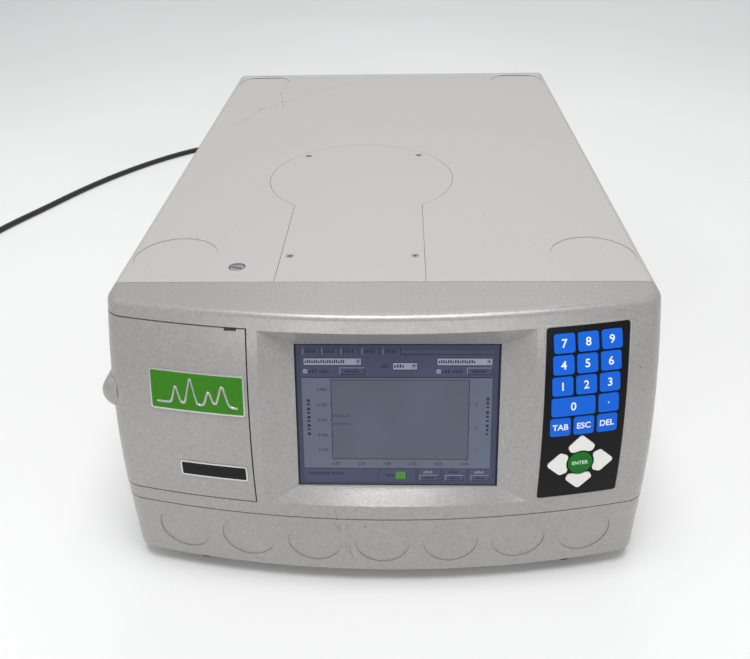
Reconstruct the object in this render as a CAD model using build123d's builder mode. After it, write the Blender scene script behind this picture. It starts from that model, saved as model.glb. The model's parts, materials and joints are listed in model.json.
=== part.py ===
from build123d import *
from math import asin, cos, degrees, pi, radians, sin, sqrt, tan
import os

# A bench detector for liquid chromatography, in millimetres.
# X runs to the right, Y to the back and Z up. The origin is on the table, under the middle.
os.makedirs("parts", exist_ok=True)

# Overall size
width = 360.0
front_y = -290.0
rear_y = 290.0
top_z = 200.0
foot_height = 12.0

# Bowed front moulding
seam_y = -212.0
bow_radius = 743.0
lean_radius = 290.0
groove_z = 61.0
corner_radius = 16.0
edge_radius = 6.0
bezel_wall = 3.5
groove_width = 0.9
groove_depth = 0.8
disc_radius = 18.7
disc_pitch = 46.7
disc_z = 38.8
disc_count = 7
disc_depth = 0.7
collar_wall = 2.5
collar_length = 9.0
collar_lap = 4.0
bow_half_angle = 20.0
form_depth = 125.0

# Sheet metal case
cover_sheet = 2.0
seam_gap = 0.4
stack_radius = 29.4
stack_x = 145.2
stack_front_y = -175.7
stack_rear_y = 256.0
stack_depth = 0.7
rim_width = 3.4
panel_sheet = 1.5
panel_depth = 7.0
base_sheet = 1.5
base_flange = 14.0
case_gap = 0.3

# Keyhole access panel and its screws
keyhole_x = -21.0
keyhole_y = -30.2
keyhole_radius = 77.5
neck_half = 50.5
keyhole_gap = 0.35
frame_sheet = 1.6
frame_outside = 8.0
frame_inside = 8.0
panel_screws = ((-71.0, 20.3), (28.8, 20.3), (-65.0, -174.7), (22.8, -174.7))
screw_sink = 3.1
screw_radius = 1.5
screw_length = 9.0
screw_clear = 0.1
lock_x = -99.4
lock_y = -190.7
lock_hole_radius = 5.8
lock_head_radius = 5.2
lock_head_height = 2.2
lock_shank_radius = 2.0
lock_length = 9.0
lock_tab_half = 9.0
lock_tab_thick = 3.0

# Door over the fluid bay
door_edge_x = -84.5
door_bottom = 72.6
door_top = 190.0
door_gap = 0.9
door_wall = 3.5
pivot_x = -176.0
pivot_y = -216.0
barrel_radius = 4.0
pin_radius = 1.5
pin_clear = 0.05
lug_height = 5.0
lug_reach = 8.5
catch_x = -94.0
catch_width = 7.6
catch_height = 1.9
catch_depth = 5.0

# Hood over the tube outlet in the door's side
hood_x = -174.0
hood_z = 138.0
hood_radius = 12.5
hood_wall = 1.8
hood_nose_y = -257.0
hood_shoulder_y = -248.0
hood_end_y = -230.0
slot_front_y = -246.0
slot_rear_y = -233.0
slot_height = 15.0

# Plates on the door
plate_thick = 0.7
plate_gap = 0.05
green_left, green_right, green_bottom, green_top = -149.5, -86.2, 137.0, 163.0
black_left, black_right, black_bottom, black_top = -133.8, -88.0, 89.6, 101.0
plate_corner = 2.0

# Fluid bay behind the door
liner_wall = 2.0
liner_back_y = -219.5
liner_left_x = -169.5
seat_gap = 0.2
union_x = (-134.0, -108.0)
union_z = 172.0
union_radius = 4.0
union_hex = 12.0
union_flange = 4.5
union_front = 10.0
union_rear = 9.0
union_bore = 0.9
fit_gap = 0.1

# Tilted display
screen_x = 10.4
screen_y0 = -263.4
screen_z = 128.0
screen_tilt = 17.42
screen_width = 132.5
screen_height = 99.4
recess_left, recess_right, recess_bottom, recess_top = -77.0, 97.0, 73.0, 190.0
recess_past = 5.0
surround_back = 1.2
wall_levels = 7
wall_past = 9.0
wall_reach = 1.2
wall_back = 60.0
window_margin = 5.0
window_thick = 1.8
module_depth = 11.0
module_margin = 9.0
board_thick = 1.6

# Keypad on the right of the display
keypad_left, keypad_right, keypad_bottom, keypad_top = 102.7, 156.5, 74.6, 189.8
keypad_gap = 0.3
keypad_ledge = 2.0
pocket_depth = 0.9
overlay_sink = 0.15
keypad_corner = 2.0
key_centre_x = 129.5
key_row_arc = 123.0
key_column_pitch = 15.26
key_row_pitch = 13.85
key_width = 13.6
key_height = 12.5
key_corner = 1.8
key_proud = 0.3
key_depth = 1.5
key_gap = 0.25
key_travel = 0.4
backing_inset = 2.1
backing_thick = 1.6
enter_radius = 8.2
arrow_tip = 20.7
arrow_shoulder = 9.2
arrow_waist = 12.2
arrow_base = 7.2
arrow_foot = 8.3
arrow_round = 2.2
arrow_gap = 1.0
arrow_stretch = 1.1

# Optical bench with its read head, cell and laser
bench_left, bench_right, bench_front, bench_rear = -100.0, 60.0, -150.0, 215.0
bench_bottom = 40.0
bench_top = 50.0
mount_radius = 11.0
beam_z = 154.0
head_radius = 68.0
head_bore = 22.0
head_bottom = 140.0
head_top = 168.0
head_foot_radius = 46.0
head_floor = 4.0
detector_count = 18
detector_radius = 4.4
detector_flange = 6.5
detector_length = 30.0
detector_clear = 0.06
cell_radius = 12.0
cell_height = 14.0
cell_bore = 1.0
manifold_width = 15.0
manifold_depth = 7.6
manifold_height = 34.0
laser_width = 56.0
laser_height = 44.0
laser_length = 150.0
laser_gap = 10.0
snout_radius = 5.0
monitor_width = 34.0
monitor_length = 26.0
upright_thick = 12.0
tube_radius = 0.8

# Electronics
supply_left, supply_right, supply_front, supply_rear, supply_height = 78.0, 170.0, 110.0, 240.0, 62.0
board_left, board_right, board_front, board_rear = 72.0, 170.0, -190.0, 90.0
standoff_height = 10.0
standoff_radius = 3.0

# Cooling fan behind the rear grille
fan_x = 70.0
fan_z = 125.0
fan_size = 80.0
fan_depth = 25.0
fan_bore = 38.0
fan_blade_tip = 36.5
fan_hub = 17.0
fan_shaft = 2.5
fan_shaft_clear = 0.05
blade_count = 7
blade_width = 19.0
blade_thick = 1.4
blade_pitch = 35.0
spider_thick = 3.0
spider_arm = 3.0
fan_corner = 4.0
fan_screw_inset = 4.5
fan_screw_radius = 2.2
grille_rings = 4
grille_slot = 5.0
grille_web = 2.4

# Mains inlet, switch and signal sockets in the rear panel
inlet_x = -118.0
inlet_z = 46.0
module_x = -103.0
module_width = 66.0
module_height = 26.0
module_flange = 2.0
module_back = 24.0
socket_width = 24.6
socket_height = 16.9
socket_depth = 17.0
socket_corner = 4.0
contact_pitch = 7.0
contact_width = 2.0
contact_height = 4.0
contact_drop = 2.0
contact_length = 14.0
rocker_x = -83.0
rocker_width = 12.4
rocker_height = 18.0
rocker_gap = 0.4
rocker_tilt = 7.0
rocker_sink = 2.4
rocker_depth = 8.0
rocker_axle = 1.5
signal_z = 46.0
signal_high_z = 84.0
dsub_x = (-34.0, 6.0)
dsub_body = (20.0, 11.0)
dsub_flange = (31.0, 12.5)
dsub_shell = (17.0, 8.4)
dsub_shell_angle = 100.0
dsub_sheet = 0.8
dsub_proud = 5.0
dsub_depth = 10.0
jack_x = 38.0
jack_size = (16.4, 13.6)
jack_mouth = (11.8, 8.4)
jack_proud = 1.0
jack_depth = 13.0
jack_length = 17.0
coax_x = (-44.0, -20.0)
coax_radius = 6.0
coax_proud = 5.0
terminal_x = 8.0
terminal_size = (34.0, 10.0)
terminal_proud = 5.0
terminal_length = 15.0
terminal_pitch = 3.8
terminal_count = 8

# Feet
foot_radius = 11.0
foot_taper = 1.5
front_foot_x = 130.0
front_foot_y = -260.0
rear_foot_x = 140.0
rear_foot_y = 250.0

# Mains lead
cord_radius = 3.5
connector_width = 24.0
connector_height = 16.3
connector_body = 34.0
connector_grip = 1.5
relief_length = 24.0
relief_radius = 7.0
relief_tip_radius = 4.2
coil_x = -583.0
coil_y = 190.0
coil_mid_radius = 38.5
coil_half_width = 7.0
coil_height = 14.0
plug_width = 27.0
plug_depth = 20.0
plug_length = 38.0
plug_edge = 3.0
blade_spacing = 12.7
blade_size = (1.5, 6.3)
blade_length = 16.0
ground_pin_radius = 2.4
ground_pin_rise = 5.0

half_width = width / 2
cover_front = seam_y + seam_gap
cover_rear = rear_y - rim_width - seam_gap
panel_y = rear_y - panel_depth
bow_centre_y = front_y + bow_radius
bow_axis = Axis((0, bow_centre_y, 0), (0, 0, 1))
bow_edge = Vector(-sin(radians(bow_half_angle)), -cos(radians(bow_half_angle)), 0)
bow_start = Plane(origin=(0, bow_centre_y, 0), x_dir=bow_edge, z_dir=bow_edge.cross(Vector(0, 0, 1)))


# Shared forms of the front
def front_form(inset, back_y=seam_y):
    """Solid form of the bowed front, moved inwards by inset and cut off at back_y."""
    radius = bow_radius - inset
    lean = lean_radius - inset
    top = top_z - inset
    bottom = foot_height + inset
    half = half_width - inset
    turn = degrees(asin((top - groove_z) / lean))
    with BuildPart() as form:
        with BuildSketch(bow_start):
            with BuildLine():
                arc = CenterArc((radius - lean, groove_z), lean, 0, turn)
                inner = radius - form_depth
                Polyline(arc @ 1, (inner, top), (inner, bottom), (radius, bottom), arc @ 0)
            make_face()
        revolve(axis=bow_axis, revolution_arc=2 * bow_half_angle)
        with BuildSketch(Plane.XY.offset(bottom)):
            with Locations((0, back_y - form_depth)):
                Rectangle(2 * half, 2 * form_depth)
        extrude(amount=top - bottom, mode=Mode.INTERSECT)
        corners = [
            edge
            for edge in form.edges()
            if abs(abs(edge.center().X) - half) < 0.5
            and bottom + 1 < edge.center().Z < top - 1
            and edge.center().Y < back_y - 1
        ]
        fillet(corners, corner_radius - inset)
        rim = [
            edge
            for edge in form.edges()
            if edge.bounding_box().min.Z > top - 0.01 and edge.center().Y < back_y - 1
        ]
        fillet(rim, max(edge_radius - inset, 1))
    return form.part


def face_y(x, z):
    """Where the bowed face is, at a place seen from the front."""
    rise = max(z - groove_z, 0)
    reach = bow_radius - lean_radius + sqrt(lean_radius**2 - rise**2)
    return bow_centre_y - sqrt(reach**2 - x**2)


def screen_y(z):
    """Where the display's plane is at a height."""
    return screen_y0 + (z - screen_z) * tan(radians(screen_tilt))


def front_plane(x, along, quarter_turns=0):
    """Plane on the bowed face at a place across, and so far along the leaning arc from the groove."""
    lean = max(along, 0) / lean_radius
    reach = bow_radius - lean_radius + lean_radius * cos(lean)
    turn = asin(x / reach)
    radial = Vector(sin(turn), -cos(turn), 0)
    origin = Vector(0, bow_centre_y, groove_z + lean_radius * sin(lean)) + radial * reach
    normal = radial * cos(lean) + Vector(0, 0, 1) * sin(lean)
    level = Vector(cos(turn), sin(turn), 0)
    roll = radians(90 * quarter_turns)
    return Plane(origin=origin, x_dir=level * cos(roll) + normal.cross(level) * sin(roll), z_dir=normal)


def front_block(left, right, bottom, top, corner=0.0):
    """Upright block that passes through the front face."""
    with BuildPart() as block:
        with BuildSketch(Plane.XZ.offset(-seam_y + 2)):
            with Locations(((left + right) / 2, (bottom + top) / 2)):
                if corner:
                    RectangleRounded(right - left, top - bottom, corner)
                else:
                    Rectangle(right - left, top - bottom)
        extrude(amount=form_depth)
    return block.part


def front_skin(outer, inner, block):
    """Curved sheet between two insets of the front form, inside a block."""
    with BuildPart() as skin:
        add(front_form(outer, seam_y + 4))
        add(front_form(inner, seam_y + 8), mode=Mode.SUBTRACT)
        add(block, mode=Mode.INTERSECT)
    return skin.part


def keyhole(growth, front):
    """Outline of the access opening, grown by growth, with its straight end at front."""
    with BuildSketch() as outline:
        with Locations((keyhole_x, keyhole_y)):
            Circle(keyhole_radius + growth)
        with Locations((keyhole_x, (front + keyhole_y) / 2)):
            Rectangle(2 * (neck_half + growth), keyhole_y - front)
    return outline.sketch


cover_opening = keyhole(0, cover_front - seam_gap)
panel_outline = keyhole(-keyhole_gap, cover_front)
frame_outline = keyhole(frame_outside, cover_front)
frame_opening = keyhole(-frame_inside, cover_front + frame_inside)

# Top cover: one folded sheet with stacking recesses and the keyhole opening
cover_bottom = foot_height + base_sheet
with BuildPart() as top_cover:
    with BuildSketch(Plane.XZ.offset(-cover_rear)):
        with Locations((0, (top_z + cover_bottom) / 2)):
            Rectangle(width, top_z - cover_bottom)
    extrude(amount=cover_rear - cover_front)
    fillet(top_cover.edges().filter_by(Axis.Y).group_by(Axis.Z)[-1], edge_radius)
    with BuildSketch(Plane.XZ.offset(-cover_rear - 1)):
        inner_top = top_z - cover_sheet
        with Locations((0, (inner_top + cover_bottom - 10) / 2)):
            Rectangle(width - 2 * cover_sheet, inner_top - cover_bottom + 10)
    extrude(amount=cover_rear - cover_front + 2, mode=Mode.SUBTRACT)
    with BuildSketch(Plane.XY.offset(top_z)):
        for y in (stack_front_y, stack_rear_y):
            with Locations((-stack_x, y), (stack_x, y)):
                Circle(stack_radius)
    extrude(amount=-stack_depth, mode=Mode.SUBTRACT)
    with BuildSketch(Plane.XY.offset(top_z - cover_sheet - 1)):
        add(cover_opening)
        with Locations((lock_x, lock_y)):
            Circle(lock_hole_radius)
    extrude(amount=cover_sheet + 2, mode=Mode.SUBTRACT)
top_cover.part.label = "top_cover"
export_step(top_cover.part, "parts/top_cover.step")

# Keyhole access panel, the frame that it rests on and its four screws
with BuildPart() as access_panel:
    with BuildSketch(Plane.XY.offset(top_z - cover_sheet)):
        add(panel_outline)
    extrude(amount=cover_sheet)
    with Locations([(x, y, top_z) for x, y in panel_screws]):
        CounterSinkHole(screw_radius + screw_clear, screw_sink, cover_sheet + 1)
access_panel.part.label = "access_panel"
export_step(access_panel.part, "parts/access_panel.step")

frame_top = top_z - cover_sheet
with BuildPart() as access_frame:
    with BuildSketch(Plane.XY.offset(frame_top - frame_sheet)):
        add(frame_outline)
        add(frame_opening, mode=Mode.SUBTRACT)
        with Locations(*panel_screws):
            Circle(screw_radius * 3)
            Circle(screw_radius + screw_clear, mode=Mode.SUBTRACT)
    extrude(amount=frame_sheet)
access_frame.part.label = "access_frame"
export_step(access_frame.part, "parts/access_frame.step")

screw_top = top_z - screw_clear
screw_head = screw_sink - 2 * screw_clear - screw_radius
with BuildPart() as access_screws:
    with Locations([(x, y, screw_top) for x, y in panel_screws]):
        Cone(screw_radius, screw_radius + screw_head, screw_head, align=(Align.CENTER, Align.CENTER, Align.MAX))
        Cylinder(screw_radius, screw_length, align=(Align.CENTER, Align.CENTER, Align.MAX))
access_screws.part.label = "access_screws"
export_step(access_screws.part, "parts/access_screws.step")

# Slotted screw that holds the cover to the front, sunk in its round hole
lock_seat = top_z - cover_sheet - lock_head_height - seam_gap
with BuildPart() as cover_lock_screw:
    with Locations((lock_x, lock_y, lock_seat)):
        Cylinder(lock_head_radius, lock_head_height, align=(Align.CENTER, Align.CENTER, Align.MIN))
        Cylinder(lock_shank_radius, lock_length, align=(Align.CENTER, Align.CENTER, Align.MAX))
    with Locations((lock_x, lock_y, lock_seat + lock_head_height)):
        Box(2 * lock_head_radius, lock_head_radius / 3, lock_head_height, mode=Mode.SUBTRACT)
cover_lock_screw.part.label = "cover_lock_screw"
export_step(cover_lock_screw.part, "parts/cover_lock_screw.step")

# Ruled walls of the display recess, each swept from the tilted display plane out through the bowed face
screen_left = screen_x - screen_width / 2
screen_right = screen_x + screen_width / 2
screen_rise = screen_height / 2 * cos(radians(screen_tilt))
screen_bottom = screen_z - screen_rise
screen_top = screen_z + screen_rise
tilt = radians(screen_tilt)
screen_plane = Plane(origin=(screen_x, screen_y0, screen_z), x_dir=(1, 0, 0), z_dir=(0, -cos(tilt), sin(tilt)))


def wall_section(outer, outer_y, inner, inner_y):
    """Corners of a recess wall's section, run past the face by the share wall_reach."""
    reach = outer + (outer - inner) * wall_reach
    reach_y = outer_y + (outer_y - inner_y) * wall_reach
    return [(reach, reach_y), (reach, inner_y + wall_back), (inner, inner_y + wall_back), (inner, inner_y)]


def side_wall(outer_x, inner_x):
    """Recess wall beside the display, lofted through level sections."""
    with BuildPart() as wall:
        for level in range(wall_levels):
            z = recess_bottom - wall_past + (recess_top - recess_bottom + 2 * wall_past) * level / (wall_levels - 1)
            corners = wall_section(outer_x, face_y(outer_x, z), inner_x, screen_y(z))
            with BuildSketch(Plane.XY.offset(z)):
                Polygon(*corners, align=None)
        loft()
    return wall.part


def cross_wall(outer_z, inner_z):
    """Recess wall above or below the display, lofted through upright sections."""
    with BuildPart() as wall:
        for level in range(wall_levels):
            x = recess_left - wall_past + (recess_right - recess_left + 2 * wall_past) * level / (wall_levels - 1)
            corners = wall_section(outer_z, face_y(x, outer_z), inner_z, screen_y(inner_z))
            with BuildSketch(Plane.YZ.offset(x)):
                Polygon(*[(y, z) for z, y in corners], align=None)
        loft()
    return wall.part


recess_block = front_block(recess_left, recess_right, recess_bottom, recess_top)
door_block = front_block(
    -half_width - hood_radius, door_edge_x + door_gap, door_bottom - door_gap, door_top + door_gap
)
pocket_block = front_block(keypad_left, keypad_right, keypad_bottom, keypad_top, keypad_corner)
window_block = front_block(
    keypad_left + keypad_ledge,
    keypad_right - keypad_ledge,
    keypad_bottom + keypad_ledge,
    keypad_top - keypad_ledge,
    keypad_corner,
)
groove_ring = Pos(0, seam_y - form_depth, groove_z) * Box(2 * width, 2 * form_depth, groove_width)
groove_ring = groove_ring - front_form(groove_depth, seam_y + 4)
disc_ring = Part()
for index in range(disc_count):
    turn = (index - (disc_count - 1) / 2) * disc_pitch / bow_radius
    radial = Vector(sin(turn), -cos(turn), 0)
    mouth = Plane(origin=Vector(0, bow_centre_y, disc_z) + radial * (bow_radius - 20), z_dir=radial)
    disc_ring += mouth * Cylinder(disc_radius, 60)
disc_ring = disc_ring - front_form(disc_depth, seam_y + 4)

front_solid = front_form(0)
front_hollow = front_form(bezel_wall, seam_y + collar_length)
surround_rear = screen_plane.offset(-surround_back) * Box(
    2 * width, 2 * width, form_depth, align=(Align.CENTER, Align.CENTER, Align.MAX)
)
surround = (recess_block & front_solid) - surround_rear
recess_void = front_block(
    recess_left - recess_past, recess_right + recess_past, recess_bottom - recess_past, recess_top + recess_past
)
recess_void -= side_wall(recess_left, screen_left)
recess_void -= side_wall(recess_right, screen_right)
recess_void -= cross_wall(recess_bottom, screen_bottom)
recess_void -= cross_wall(recess_top, screen_top)
pocket = pocket_block - front_form(pocket_depth, seam_y + collar_lap)
frame_relief = keyhole(frame_outside + collar_wall, cover_front - seam_gap)

# Front moulding: a bowed shell with the display recess, the keypad pocket and the door opening
collar_top = top_z - cover_sheet - case_gap
collar_half = half_width - cover_sheet - case_gap
collar_bottom = foot_height + bezel_wall
with BuildPart() as front_bezel:
    add(front_solid)
    add(front_hollow, mode=Mode.SUBTRACT)
    add(surround)
    add(recess_void, mode=Mode.SUBTRACT)
    with BuildSketch(Plane.XZ.offset(-seam_y - collar_length)):
        with Locations((0, (collar_top + collar_bottom) / 2)):
            Rectangle(2 * collar_half, collar_top - collar_bottom)
            Rectangle(
                2 * (collar_half - collar_wall), collar_top - collar_bottom - 2 * collar_wall, mode=Mode.SUBTRACT
            )
    extrude(amount=collar_length + collar_lap)
    with Locations((lock_x, lock_y, lock_seat)):
        Box(
            2 * lock_tab_half,
            2 * lock_tab_half,
            lock_tab_thick,
            align=(Align.CENTER, Align.CENTER, Align.MAX),
        )
    with Locations((lock_x, seam_y - collar_lap, lock_seat)):
        Box(
            2 * lock_tab_half,
            lock_y - seam_y + collar_lap,
            lock_tab_thick,
            align=(Align.CENTER, Align.MIN, Align.MAX),
        )
    with Locations((lock_x, lock_y, lock_seat)):
        Hole(lock_shank_radius + screw_clear, lock_tab_thick * 2)
    with BuildSketch(Plane.XY.offset(collar_top - 2 * collar_wall)):
        add(frame_relief)
    extrude(amount=2 * collar_wall, mode=Mode.SUBTRACT)
    add(door_block, mode=Mode.SUBTRACT)
    with Locations((-half_width, cover_front, (door_bottom + door_top) / 2)):
        Box(
            2 * lug_reach,
            4 * barrel_radius,
            door_top - door_bottom + 2 * door_gap,
            align=(Align.CENTER, Align.MAX, Align.CENTER),
            mode=Mode.SUBTRACT,
        )
    for z, side in ((door_top + door_gap, Align.MIN), (door_bottom - door_gap, Align.MAX)):
        with Locations((-half_width + bezel_wall / 2, pivot_y, z)):
            Box(lug_reach, 2 * barrel_radius - seam_gap, lug_height, align=(Align.MIN, Align.CENTER, side))
    with Locations((pivot_x, pivot_y, (door_bottom + door_top) / 2)):
        Cylinder(
            pin_radius + pin_clear, door_top - door_bottom + 2 * (lug_height + door_gap), mode=Mode.SUBTRACT
        )
    add(pocket, mode=Mode.SUBTRACT)
    add(window_block, mode=Mode.SUBTRACT)
    add(groove_ring, mode=Mode.SUBTRACT)
    add(disc_ring, mode=Mode.SUBTRACT)
front_bezel.part.label = "front_bezel"
export_step(front_bezel.part, "parts/front_bezel.step")

# Door: the same bowed shell, wrapped round the corner and ending in a hinge barrel
door_height = door_top - door_bottom
door_reach = front_block(-half_width - hood_radius, door_edge_x, door_bottom, door_top)
door_shell = front_skin(0, door_wall, door_reach)
notch_y = face_y(catch_x, door_top)
catch_seat = door_top + door_gap - seam_gap - catch_height
with BuildPart() as door:
    add(door_shell)
    with Locations((-half_width, pivot_y, (door_bottom + door_top) / 2)):
        Box(
            2 * lug_reach,
            4 * barrel_radius,
            door_height,
            align=(Align.CENTER, Align.MIN, Align.CENTER),
            mode=Mode.SUBTRACT,
        )
    with Locations((pivot_x, pivot_y, door_bottom)):
        Cylinder(barrel_radius, door_height, align=(Align.CENTER, Align.CENTER, Align.MIN))
        Cylinder(
            pin_radius + pin_clear,
            door_height,
            align=(Align.CENTER, Align.CENTER, Align.MIN),
            mode=Mode.SUBTRACT,
        )
    with Locations((-half_width, (slot_front_y + slot_rear_y) / 2, hood_z)):
        Box(2 * lug_reach, slot_rear_y - slot_front_y, slot_height, mode=Mode.SUBTRACT)
    with Locations((catch_x, notch_y, catch_seat)):
        Box(
            catch_width + seam_gap,
            4 * catch_depth,
            catch_height,
            align=(Align.CENTER, Align.CENTER, Align.MIN),
            mode=Mode.SUBTRACT,
        )
door.part.label = "door"
export_step(door.part, "parts/door.step")

with BuildPart() as door_catch:
    with Locations((catch_x, notch_y + seam_gap, catch_seat)):
        Box(catch_width, catch_depth, catch_height, align=(Align.CENTER, Align.MIN, Align.MIN))
    fillet(door_catch.edges().filter_by(Axis.X).group_by(Axis.Z)[-1], catch_height / 4)
door_catch.part.label = "door_catch"
export_step(door_catch.part, "parts/door_catch.step")

with BuildPart() as hinge_pin:
    with Locations((pivot_x, pivot_y, (door_bottom + door_top) / 2)):
        Cylinder(pin_radius, door_height + 2 * door_gap + 2 * lug_height - seam_gap)
    chamfer(hinge_pin.edges().filter_by(GeomType.CIRCLE), pin_radius / 4)
hinge_pin.part.label = "hinge_pin"
export_step(hinge_pin.part, "parts/hinge_pin.step")

# Tube hood: a hollow blister that opens to the rear, seated on the door's rounded corner
hood_seat = front_form(-plate_gap, seam_y)
with BuildPart() as tube_hood:
    with BuildSketch(Plane(origin=(hood_x, 0, hood_z), x_dir=(0, 1, 0), z_dir=(0, 0, 1))):
        with BuildLine():
            outer_nose = EllipticalCenterArc(
                (hood_shoulder_y, 0), hood_shoulder_y - hood_nose_y, hood_radius, start_angle=90, arc_size=90
            )
            inner_nose = EllipticalCenterArc(
                (hood_shoulder_y, 0),
                hood_shoulder_y - hood_nose_y - hood_wall,
                hood_radius - hood_wall,
                start_angle=90,
                arc_size=90,
            )
            Polyline(outer_nose @ 0, (hood_end_y, hood_radius), (hood_end_y, hood_radius - hood_wall), inner_nose @ 0)
            Line(outer_nose @ 1, inner_nose @ 1)
        make_face()
    revolve(axis=Axis((hood_x, 0, hood_z), (0, 1, 0)))
    add(hood_seat, mode=Mode.SUBTRACT)
    with Locations((hood_x, hood_shoulder_y, hood_z)):
        Box(
            2 * hood_radius,
            4 * hood_radius,
            2 * hood_radius,
            align=(Align.MIN, Align.CENTER, Align.CENTER),
            mode=Mode.SUBTRACT,
        )
tube_hood.part.label = "tube_hood"
export_step(tube_hood.part, "parts/tube_hood.step")

# Plates on the door, bent to its curve
green_block = front_block(green_left, green_right, green_bottom, green_top, plate_corner)
green_plate_skin = front_skin(-plate_gap - plate_thick, -plate_gap, green_block)
with BuildPart() as green_plate:
    add(green_plate_skin)
green_plate.part.label = "green_plate"
export_step(green_plate.part, "parts/green_plate.step")

black_block = front_block(black_left, black_right, black_bottom, black_top, plate_corner)
black_plate_skin = front_skin(-plate_gap - plate_thick, -plate_gap, black_block)
with BuildPart() as black_plate:
    add(black_plate_skin)
black_plate.part.label = "black_plate"
export_step(black_plate.part, "parts/black_plate.step")

# Fluid bay: a moulded tray behind the door, open to the front and to the hood's side
liner_fit = front_form(bezel_wall + seat_gap, seam_y)
liner_right_x = door_edge_x + door_gap
liner_floor = door_bottom - door_gap
liner_ceiling = door_top + door_gap
with BuildPart() as bay_liner:
    with Locations((liner_right_x + liner_wall, liner_back_y, liner_floor - liner_wall)):
        Box(
            liner_right_x + liner_wall - liner_left_x,
            form_depth,
            liner_ceiling - liner_floor + 2 * liner_wall,
            align=(Align.MAX, Align.MAX, Align.MIN),
        )
    with Locations((liner_right_x, liner_back_y - liner_wall, liner_floor)):
        Box(
            liner_right_x - liner_left_x,
            form_depth,
            liner_ceiling - liner_floor,
            align=(Align.MAX, Align.MAX, Align.MIN),
            mode=Mode.SUBTRACT,
        )
    add(liner_fit, mode=Mode.INTERSECT)
    with Locations([Plane((x, liner_back_y, union_z), z_dir=(0, 1, 0)) for x in union_x]):
        Cylinder(union_radius + fit_gap, 4 * liner_wall, mode=Mode.SUBTRACT)
bay_liner.part.label = "bay_liner"
export_step(bay_liner.part, "parts/bay_liner.step")

# Bulkhead unions for the inlet and outlet tubing
union_seat = liner_back_y - liner_wall
with BuildPart() as bulkhead_unions:
    for x in union_x:
        with BuildSketch(Plane.XZ.offset(-union_seat)):
            with Locations((x, union_z)):
                RegularPolygon(union_hex / 2, 6, major_radius=False)
        extrude(amount=union_flange)
        with BuildSketch(Plane.XZ.offset(-union_seat - liner_wall - union_rear)):
            with Locations((x, union_z)):
                Circle(union_radius)
        extrude(amount=union_rear + liner_wall + union_flange + union_front)
        with BuildSketch(Plane.XZ.offset(-union_seat + union_flange + union_front)):
            with Locations((x, union_z)):
                Circle(union_radius / 2)
        extrude(amount=-union_front, mode=Mode.SUBTRACT)
        with BuildSketch(Plane.XZ.offset(-union_seat - liner_wall - union_rear)):
            with Locations((x, union_z)):
                Circle(union_bore)
        extrude(amount=union_rear, mode=Mode.SUBTRACT)
bulkhead_unions.part.label = "bulkhead_unions"
export_step(bulkhead_unions.part, "parts/bulkhead_unions.step")

# Display window and module behind the tilted opening
window_plane = screen_plane.offset(-surround_back)
with BuildPart() as display_window:
    with BuildSketch(window_plane):
        RectangleRounded(screen_width + 2 * window_margin, screen_height + 2 * window_margin, plate_corner)
    extrude(amount=-window_thick)
display_window.part.label = "display_window"
export_step(display_window.part, "parts/display_window.step")

module_plane = window_plane.offset(-window_thick)
board_plane = module_plane.offset(-module_depth)
with BuildPart() as display_module:
    with BuildSketch(module_plane):
        Rectangle(screen_width + 2 * module_margin, screen_height + 2 * window_margin)
    extrude(amount=-module_depth)
    with BuildSketch(board_plane):
        Rectangle(screen_width, screen_height)
    extrude(amount=-board_thick)
    with BuildSketch(board_plane.offset(-board_thick)):
        with GridLocations(screen_width / 3, screen_height / 2, 3, 2):
            Rectangle(screen_width / 8, screen_height / 8)
    extrude(amount=-board_thick)
display_module.part.label = "display_module"
export_step(display_module.part, "parts/display_module.step")


# Keypad: an overlay bent to the face, a switch board behind it and nineteen keys
def key_outline(kind, growth):
    """Outline of one key about its own centre, grown by growth."""
    with BuildSketch() as outline:
        if kind == "enter":
            Circle(enter_radius + growth)
        elif kind in ("arrow", "side arrow"):
            stretch = arrow_stretch if kind == "side arrow" else 1.0
            step = key_column_pitch if kind == "side arrow" else key_row_pitch
            Polygon(
                (0, arrow_tip * stretch - step),
                (arrow_shoulder / stretch, arrow_waist * stretch - step),
                (arrow_base / stretch, arrow_foot - step),
                (-arrow_base / stretch, arrow_foot - step),
                (-arrow_shoulder / stretch, arrow_waist * stretch - step),
                align=None,
            )
            fillet(outline.vertices(), arrow_round)
            with Locations((0, -step)):
                Circle(enter_radius + arrow_gap, mode=Mode.SUBTRACT)
            if growth:
                offset(amount=growth)
        else:
            key_length = key_width + (key_column_pitch if kind == "wide" else 0)
            RectangleRounded(key_length + 2 * growth, key_height + 2 * growth, key_corner + growth)
    return outline.sketch


# Each key: name, kind, column from the middle, row from the top, quarter turns
keys = [
    ("key_7", "square", -1, 0, 0),
    ("key_8", "square", 0, 0, 0),
    ("key_9", "square", 1, 0, 0),
    ("key_4", "square", -1, 1, 0),
    ("key_5", "square", 0, 1, 0),
    ("key_6", "square", 1, 1, 0),
    ("key_1", "square", -1, 2, 0),
    ("key_2", "square", 0, 2, 0),
    ("key_3", "square", 1, 2, 0),
    ("key_0", "wide", -0.5, 3, 0),
    ("key_point", "square", 1, 3, 0),
    ("key_tab", "square", -1, 4, 0),
    ("key_esc", "square", 0, 4, 0),
    ("key_del", "square", 1, 4, 0),
    ("key_enter", "enter", 0, 6, 0),
    ("key_up", "arrow", 0, 5, 0),
    ("key_left", "side arrow", -1, 6, 1),
    ("key_down", "arrow", 0, 7, 2),
    ("key_right", "side arrow", 1, 6, 3),
]


def key_plane(column, row, turns):
    """Plane of a key on the bowed face, by its place in the grid."""
    return front_plane(key_centre_x + column * key_column_pitch, key_row_arc - row * key_row_pitch, turns)


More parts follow.
